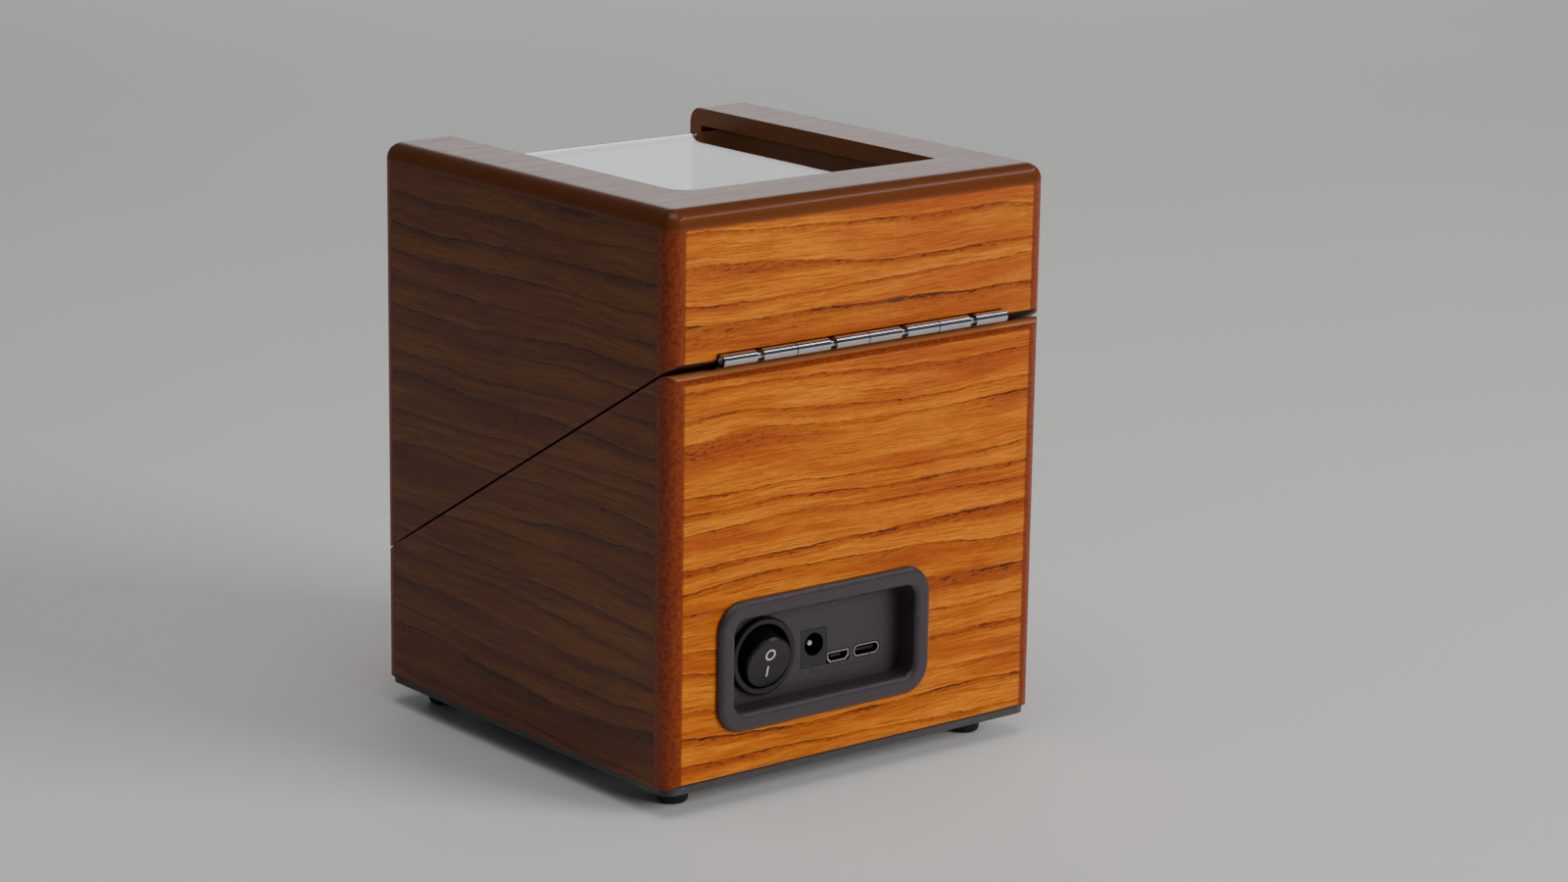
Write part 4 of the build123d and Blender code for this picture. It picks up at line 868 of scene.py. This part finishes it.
class WINDER_OT_dress_controls(bpy.types.Operator):
    """Recessed control panel with its switch and sockets."""

    bl_idname = "winder.dress_controls"
    bl_label = "Dress the controls"

    def execute(self, context):
        look = context.scene.winder_plastics
        coat(moulded("panel_plastic", look.panel, 0.5, 0.11, 0.36, 0.8), "io_panel")
        coat(moulded("switch_plastic", look.switch, 0.5, 0.03, 0.34, 0.3), "switch_housing")
        coat(moulded("paddle_plastic", look.switch, 0.6, 0.015, 0.36, 0.1), "rocker_paddle")
        coat(moulded("jack_plastic", tone(34, 33, 37), 0.6, 0.02, 0.38, 0.1), "dc_jack")
        shell = metal("socket_steel", tone(176, 170, 164), 0.22, (2.0, 0.3, 2.0), 0.2)
        coat(shell, "micro_usb_shell", "usb_c_shell")
        coat(metal("pin_nickel", tone(214, 212, 206), 0.14, (1.0, 1.0, 1.0), 0.1), "dc_pin")
        brass = metal("terminal_brass", tone(196, 160, 88), 0.28, (0.3, 3.0, 0.3), 0.2)
        coat(brass, "switch_terminals")
        coat(moulded("tongue_plastic", tone(26, 22, 22), 0.4, 0.01, 0.4, 0.1), "port_tongues")
        coat(circuit("power_circuit"), "power_board")
        return {"FINISHED"}


class WINDER_OT_dress_mechanism(bpy.types.Operator):
    """Drum, bridge, belt drive, gearmotor and control board."""

    bl_idname = "winder.dress_mechanism"
    bl_label = "Dress the mechanism"

    def execute(self, context):
        look = context.scene.winder_plastics
        rows = (DECK_ACROSS, DECK_BACK)
        middle = DECK_ORIGIN / MM
        motor_at = Vector(joint("motor_spin")["pos_m"]) / MM
        inner = moulded("inner_plastic", look.inner, 0.8, 0.08, 0.44, 0.3)
        coat(inner, "drum_cup", "mechanism_bridge", "direction_knob", "turns_knob")
        coat(moulded("pulley_plastic", tone(196, 192, 182), 1.2, 0.03, 0.4, 0.2), "drive_pulley")
        coat(rubber("belt_rubber", tone(20, 20, 21)), "drive_belt")
        coat(turned("ring_metal", tone(150, 146, 140), 0.26, middle, rows), "trim_ring")
        coat(turned("spindle_steel", tone(176, 176, 178), 0.2, middle, rows), "drum_shaft")
        coat(turned("clip_steel", tone(120, 120, 124), 0.3, middle, rows), "retaining_clip")
        brass = turned("bush_brass", tone(188, 142, 72), 0.26, middle, rows)
        coat(brass, "bush_upper", "bush_lower")
        coat(turned("rotor_brass", tone(196, 152, 78), 0.24, motor_at, rows), "motor_pulley")
        coat(turned("rotor_steel", tone(180, 180, 182), 0.2, motor_at, rows), "motor_shaft")
        can = metal("motor_can", tone(158, 158, 160), 0.3, (0.4, 0.4, 3.0), 0.2)
        coat(can, "motor", "gearbox")
        coat(circuit("control_circuit"), "control_board")
        chips = moulded("chip_plastic", tone(26, 26, 28), 0.3, 0.02, 0.5, 0.15)
        coat(chips, "board_components", "direction_switch", "turns_switch")
        return {"FINISHED"}


class WINDER_OT_dress_lining(bpy.types.Operator):
    """Leather on the inner panel, with printed ticks round both knobs."""

    bl_idname = "winder.dress_lining"
    bl_label = "Dress the lining"

    def execute(self, context):
        coat(leather("lining_leather", context.scene.winder_cushion.lining), "face_panel")
        ink = printed("tick_print", context.scene.winder_plastics.marking)
        self.add_ticks("direction_ticks", "direction_turn", ink)
        self.add_ticks("turns_ticks", "turns_turn", ink)
        return {"FINISHED"}

    def add_ticks(self, name, dial, ink):
        """Four ticks round the knob of one joint."""
        tick_start, tick_end, tick_width, tick_height = 7.6, 9.2, 0.5, 0.05
        tick = (tick_start, (tick_start + tick_end) / 2, tick_end)
        out = Vector(joint(dial)["pos_m"]) - DECK_ORIGIN
        at = (out.dot(DECK_ACROSS) / MM, out.dot(DECK_BACK) / MM)

        def on_panel(across, back, rise):
            return deck_point(across, back, PANEL_TOP + rise)

        def build(shape):
            for quarter in range(1, 5):
                turn = math.radians(90 * quarter)
                run = (math.cos(turn), math.sin(turn))
                path = [(at[0] + run[0] * r, at[1] + run[1] * r) for r in tick]
                band(shape, path, False, tick_width, tick_height, on_panel)

        link(name, mesh_of(name, build), ink, "case")


class WINDER_OT_add_rocker_marks(bpy.types.Operator):
    """Ring and bar on the rocker's face."""

    bl_idname = "winder.add_rocker_marks"
    bl_label = "Add the rocker marks"

    def execute(self, context):
        pivot = Vector(joint("rocker_tip")["pos_m"]) / MM
        tilt = math.radians(15.0)
        face_height = 5.0
        ring_radius, mark_height = 1.38, 2.5
        bar_length, bar_middle = 3.0, -2.4
        line_width, line_height = 0.44, 0.07
        out = Vector((0.0, math.cos(tilt), -math.sin(tilt)))
        up = Vector((0.0, math.sin(tilt), math.cos(tilt)))
        face = pivot + out * face_height

        def place(across, height, rise):
            return (face - Vector((across, 0.0, 0.0)) + up * height + out * rise) * MM

        def build(shape):
            ring = circle(ring_radius, 56, (0.0, mark_height))
            band(shape, ring, True, line_width, line_height, place)
            bar = [(0.0, bar_middle + bar_length * part) for part in (-0.5, 0.0, 0.5)]
            band(shape, bar, False, line_width, line_height, place)

        ink = printed("rocker_print", context.scene.winder_plastics.marking)
        link("rocker_marks", mesh_of("rocker_marks", build), ink, "rocker")
        return {"FINISHED"}


class WINDER_OT_add_port_guide(bpy.types.Operator):
    """Thin raised line that joins the sockets."""

    bl_idname = "winder.add_port_guide"
    bl_label = "Add the port guide"

    def execute(self, context):
        below_jack, line_width, line_height = 1.5, 0.26, 0.10
        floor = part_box("dc_jack")[1].y / MM
        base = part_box("dc_jack")[0].z / MM - below_jack
        jack, micro, port = [
            -sum(corner.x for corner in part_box(name)) / 2 / MM
            for name in ("dc_jack", "micro_usb_shell", "usb_c_shell")
        ]
        # Where the line turns up, beside the middle of each socket
        left, middle, right = jack - 0.4, micro + 0.5, port + 1.3

        def place(across, height, rise):
            return Vector((-across, floor + rise, base + height)) * MM

        def build(shape):
            outline = [(left, 1.1), (left, 0.0), (middle, 0.0), (right, 0.0), (right, 1.9)]
            band(shape, outline, False, line_width, line_height, place)
            branch = [(middle, up) for up in (line_width / 2, 0.7, 1.3)]
            band(shape, branch, False, line_width, line_height, place)

        look = context.scene.winder_plastics
        paint = moulded("guide_plastic", look.panel, 0.5, 0.02, 0.42, 0.2)
        link("port_guide", mesh_of("port_guide", build), paint, "case")
        return {"FINISHED"}


class WINDER_OT_sew_cushion(bpy.types.Operator):
    """Stuffed leather cushion with piped and stitched seams."""

    bl_idname = "winder.sew_cushion"
    bl_label = "Sew the cushion"

    def execute(self, context):
        look = context.scene.winder_cushion
        low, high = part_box("watch_pillow")
        middle = Matrix.Translation((low + high) / 2)
        unfilled = Matrix.Scale(0.955, 4)
        start = NODES["watch_pillow"].data.copy()
        start.transform(middle @ unfilled @ middle.inverted())
        piece = placed("watch_cushion", start)
        grid = piece.modifiers.new("grid", "REMESH")
        grid.mode = "VOXEL"
        grid.voxel_size = 0.0025
        rest = [vertex.co.copy() for vertex in settle(piece).vertices]
        self.stuff(context, piece, look)
        self.keep_in_pocket(piece.data, rest, look.swell * MM)
        rounder = piece.modifiers.new("rounder", "SUBSURF")
        rounder.levels = rounder.render_levels = 1
        mesh = settle(piece)
        self.pull_seams(mesh, look)
        smooth(mesh)
        paint = leather("cushion_leather", look.leather, 0.9, 0.14, 0.46)
        cover(mesh, paint)
        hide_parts("watch_pillow")
        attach(piece, "pillow")
        self.add_trim(mesh, look, paint)
        return {"FINISHED"}

    def stuff(self, context, piece, look):
        """Lets the filling push the leather out between its pinned seams."""
        held_beside = 2.0
        seams = piece.vertex_groups.new(name="seams")
        for vertex in piece.data.vertices:
            across = abs((vertex.co - DECK_ORIGIN).dot(DECK_ACROSS)) / MM
            hold = max(0.0, 1.0 - abs(across - look.seam_at) / held_beside)
            if hold > 0.0:
                seams.add([vertex.index], hold, "REPLACE")
        cloth = piece.modifiers.new("filling", "CLOTH")
        cloth.settings.quality = 6
        cloth.settings.mass = 0.1
        cloth.settings.use_pressure = True
        cloth.settings.uniform_pressure_force = look.pressure
        cloth.settings.vertex_group_mass = "seams"
        cloth.settings.effector_weights.gravity = 0.0
        cloth.collision_settings.use_self_collision = False
        cloth.point_cache.frame_start = 1
        cloth.point_cache.frame_end = look.frames
        for step in range(1, look.frames + 1):
            context.scene.frame_set(step)
        settle(piece)
        context.scene.frame_set(1)

    def keep_in_pocket(self, mesh, rest, swell):
        """Limits how far the leather moves, and keeps the part in the drum clear of it."""
        half_across, half_back = POCKET_HALF
        for vertex, before in zip(mesh.vertices, rest):
            move = vertex.co - before
            if move.length > swell:
                move = move.normalized() * swell
            spot = before + move - DECK_ORIGIN
            across, back, up = [spot.dot(axis) / MM for axis in (DECK_ACROSS, DECK_BACK, DECK_UP)]
            if up < POCKET_RIM:
                across = max(-half_across, min(half_across, across))
                back = max(-half_back, min(half_back, back))
            up = max(POCKET_FLOOR, up)
            vertex.co = deck_point(across, back, up)
        mesh.update()

    def pull_seams(self, mesh, look):
        """Draws the leather in along the seams, with small puckers beside them."""
        groove_width, groove_depth = 1.3, 0.9
        pucker_beside, pucker_width, pucker_depth, puckers = 3.0, 2.2, 0.10, 38
        normals = [vertex.normal.copy() for vertex in mesh.vertices]
        for vertex, out in zip(mesh.vertices, normals):
            spot = vertex.co - DECK_ORIGIN
            across = abs(spot.dot(DECK_ACROSS)) / MM
            turn = math.atan2(spot.dot(DECK_UP) / MM - CUSHION_MIDDLE, spot.dot(DECK_BACK) / MM)
            beside = across - look.seam_at
            groove = math.exp(-((beside / groove_width) ** 2)) * groove_depth
            near = math.exp(-(((abs(beside) - pucker_beside) / pucker_width) ** 2))
            pucker = near * math.sin(turn * puckers) * pucker_depth
            vertex.co -= out * (groove + pucker) * MM
        mesh.update()

    def add_trim(self, mesh, look, leather_paint):
        """Piping and stitches along both seams."""
        tree = BVHTree.FromPolygons(
            [vertex.co for vertex in mesh.vertices], [face.vertices for face in mesh.polygons]
        )
        thread = rubber("sewing_thread", look.thread)
        for name, hand in (("left", -1), ("right", 1)):
            seam = self.loop_at(tree, hand * look.seam_at, 144)
            self.pipe(name + "_piping", seam, look.piping * MM, leather_paint)
            rows = [
                self.loop_at(tree, hand * (look.seam_at + aside), 720)
                for aside in (-STITCH_ASIDE, STITCH_ASIDE)
            ]
            self.stitch(name + "_stitches", rows, look, thread)

    def loop_at(self, tree, across, count):
        """Points and outward directions where a slice across the cushion meets its surface."""
        found = []
        for i in range(count):
            turn = 2 * math.pi * i / count
            out = DECK_BACK * math.cos(turn) + DECK_UP * math.sin(turn)
            outside = deck_point(across, 0.0, CUSHION_MIDDLE) + out * 0.1
            hit, normal, _, _ = tree.ray_cast(outside, -out)
            if hit is None:
                raise RuntimeError("the cushion has no surface where its seam runs")
            found.append((hit, normal))
        return found

    def pipe(self, name, loop, radius, paint):
        """A covered cord laid in the seam."""
        line = bpy.data.curves.new(name, "CURVE")
        line.dimensions = "3D"
        line.bevel_depth = radius
        line.bevel_resolution = 4
        spline = line.splines.new("POLY")
        spline.points.add(len(loop) - 1)
        spline.use_cyclic_u = True
        for point, (hit, normal) in zip(spline.points, loop):
            point.co = (*(hit + normal * radius * 0.1), 1.0)
        curve = placed(name + "_line", line)
        mesh = baked(curve, name)
        bpy.data.objects.remove(curve)
        smooth(mesh)
        link(name, mesh, paint, "pillow")

    def stitch(self, name, rows, look, paint):
        """The rows of stitches of one seam, as one mesh."""

        def build(shape):
            for row in rows:
                self.stitch_loop(shape, row, look)

        mesh = mesh_of(name, build)
        smooth(mesh)
        link(name, mesh, paint, "pillow")

    def stitch_loop(self, shape, loop, look):
        """Stitches of even length along a closed line."""
        lengths = [0.0]
        for (here, _), (there, _) in zip(loop, loop[1:] + loop[:1]):
            lengths.append(lengths[-1] + (there - here).length)
        count = round(lengths[-1] / ((look.stitch + look.stitch_gap) * MM))
        pitch = lengths[-1] / count
        length = look.stitch * MM

        def spot_at(distance):
            i = max(k for k, passed in enumerate(lengths[:-1]) if passed <= distance + 1e-12)
            here, there = loop[i], loop[(i + 1) % len(loop)]
            part = (distance - lengths[i]) / max(1e-9, lengths[i + 1] - lengths[i])
            return here[0].lerp(there[0], part), here[1].lerp(there[1], part).normalized()

        for i in range(count):
            start, out = spot_at(i * pitch)
            end, _ = spot_at(min(i * pitch + length, lengths[-1] - 1e-9))
            thread_stitch(shape, start, end, out, THREAD_RADIUS * MM)


class WINDER_OT_build_stage(bpy.types.Operator):
    """Pale floor, soft lights and the camera."""

    bl_idname = "winder.build_stage"
    bl_label = "Build the stage"

    def execute(self, context):
        look = context.scene.winder_stage
        self.add_floor(look)
        self.add_room(context, look)
        # Each lamp: where it stands, what it looks at, its width and height, its power
        lamps = {
            "key": ((-0.95, 1.75, 0.72), (0.0, 0.0, 0.08), 1.1, 1.1, look.key),
            "sweep": ((-1.25, -1.55, 0.62), (0.0, 0.0, 0.16), 1.5, 0.8, look.sweep),
            "overhead": ((0.2, 0.3, 1.7), (0.0, 0.0, 0.1), 1.2, 1.2, look.overhead),
            "glint": ((-0.80, 0.66, 1.02), (0.0, 0.06, 0.12), 1.4, 0.16, look.glint),
        }
        for name, (at, aim, width, height, strength) in lamps.items():
            lamp = self.add_lamp(name, Vector(at), Vector(aim), width, height, strength)
            # The lacquer doesn't mirror the key lamp, and only polished faces catch the glint
            lamp.visible_glossy = name != "key"
            lamp.visible_diffuse = name != "glint"
        self.add_camera(context, look)
        return {"FINISHED"}

    def add_floor(self, look):
        """A wide disc of faintly mottled paper."""

        def build(shape):
            rim = [shape.verts.new((x, y, 0.0)) for x, y in circle(7.0, 96)]
            shape.faces.new(rim)

        paint = Paint("studio_paper", {"IOR": 1.4})
        cloud = paint.noise(paint.stretch(paint.spot(), 0.004), 3.0)
        pale = look.floor
        paint.finish("Base Color", paint.mix(cloud, pale, shaded(pale, 0.96)))
        paint.finish("Roughness", 0.7 + (cloud - 0.5) * 0.1)
        mesh = mesh_of("studio_floor", build)
        cover(mesh, paint)
        floor = placed("studio_floor", mesh)

    def add_room(self, context, look):
        """Even light from all round."""
        world = bpy.data.worlds.new("studio_room")
        world.use_nodes = True
        backdrop = world.node_tree.nodes["Background"]
        backdrop.inputs["Color"].default_value = tone(236, 238, 244)
        backdrop.inputs["Strength"].default_value = look.room
        context.scene.world = world

    def add_lamp(self, name, at, aim, width, height, strength):
        """One lamp, which the camera doesn't see."""
        light = bpy.data.lights.new(name, "AREA")
        light.shape = "RECTANGLE"
        light.size = width
        light.size_y = height
        light.energy = strength
        lamp = placed(name, light)
        lamp.location = at
        lamp.rotation_mode = "QUATERNION"
        lamp.rotation_quaternion = (aim - at).to_track_quat("-Z", "Y")
        lamp.visible_camera = False
        return lamp

    def add_camera(self, context, look):
        """The photograph's point of view."""
        back = Vector(
            (
                math.sin(look.azimuth) * math.cos(look.elevation),
                -math.cos(look.azimuth) * math.cos(look.elevation),
                math.sin(look.elevation),
            )
        )
        data = bpy.data.cameras.new("view")
        data.sensor_width = 36.0
        data.lens = look.lens
        data.shift_x = look.shift
        data.clip_start = 0.01
        data.clip_end = 50.0
        camera = placed("view", data)
        camera.location = Vector((0.0, 0.0, look.target_height)) + back * look.distance
        camera.rotation_mode = "QUATERNION"
        turn = Quaternion((0.0, 0.0, 1.0), look.roll)
        camera.rotation_quaternion = (-back).to_track_quat("-Z", "Y") @ turn
        context.scene.camera = camera


GROUPS = {
    "winder_veneer": WinderVeneer,
    "winder_plastics": WinderPlastics,
    "winder_cushion": WinderCushion,
    "winder_stage": WinderStage,
}
STEPS = (
    WINDER_OT_build_stage,
    WINDER_OT_dress_wood,
    WINDER_OT_dress_pane,
    WINDER_OT_dress_hardware,
    WINDER_OT_dress_underside,
    WINDER_OT_dress_controls,
    WINDER_OT_dress_mechanism,
    WINDER_OT_dress_lining,
    WINDER_OT_add_rocker_marks,
    WINDER_OT_add_port_guide,
    WINDER_OT_sew_cushion,
)


class WINDER_PT_sidebar(bpy.types.Panel):
    """Sizes, colours and steps of the winder."""

    bl_idname = "WINDER_PT_sidebar"
    bl_label = "Watch winder"
    bl_space_type = "VIEW_3D"
    bl_region_type = "UI"
    bl_category = "Winder"

    def draw(self, context):
        for step in STEPS:
            self.layout.operator(step.bl_idname)
        for name, group in GROUPS.items():
            box = self.layout.box()
            for setting in group.__annotations__:
                box.prop(getattr(context.scene, name), setting)


def register():
    for group in GROUPS.values():
        bpy.utils.register_class(group)
    for name, group in GROUPS.items():
        setattr(bpy.types.Scene, name, PointerProperty(type=group))
    for step in STEPS:
        bpy.utils.register_class(step)
    bpy.utils.register_class(WINDER_PT_sidebar)


def unregister():
    bpy.utils.unregister_class(WINDER_PT_sidebar)
    for step in reversed(STEPS):
        bpy.utils.unregister_class(step)
    for name, group in reversed(GROUPS.items()):
        delattr(bpy.types.Scene, name)
        bpy.utils.unregister_class(group)


def main():
    """Runs every step."""
    register()
    for step in STEPS:
        area, name = step.bl_idname.split(".")
        getattr(getattr(bpy.ops, area), name)()


if __name__ == "__main__":
    main()
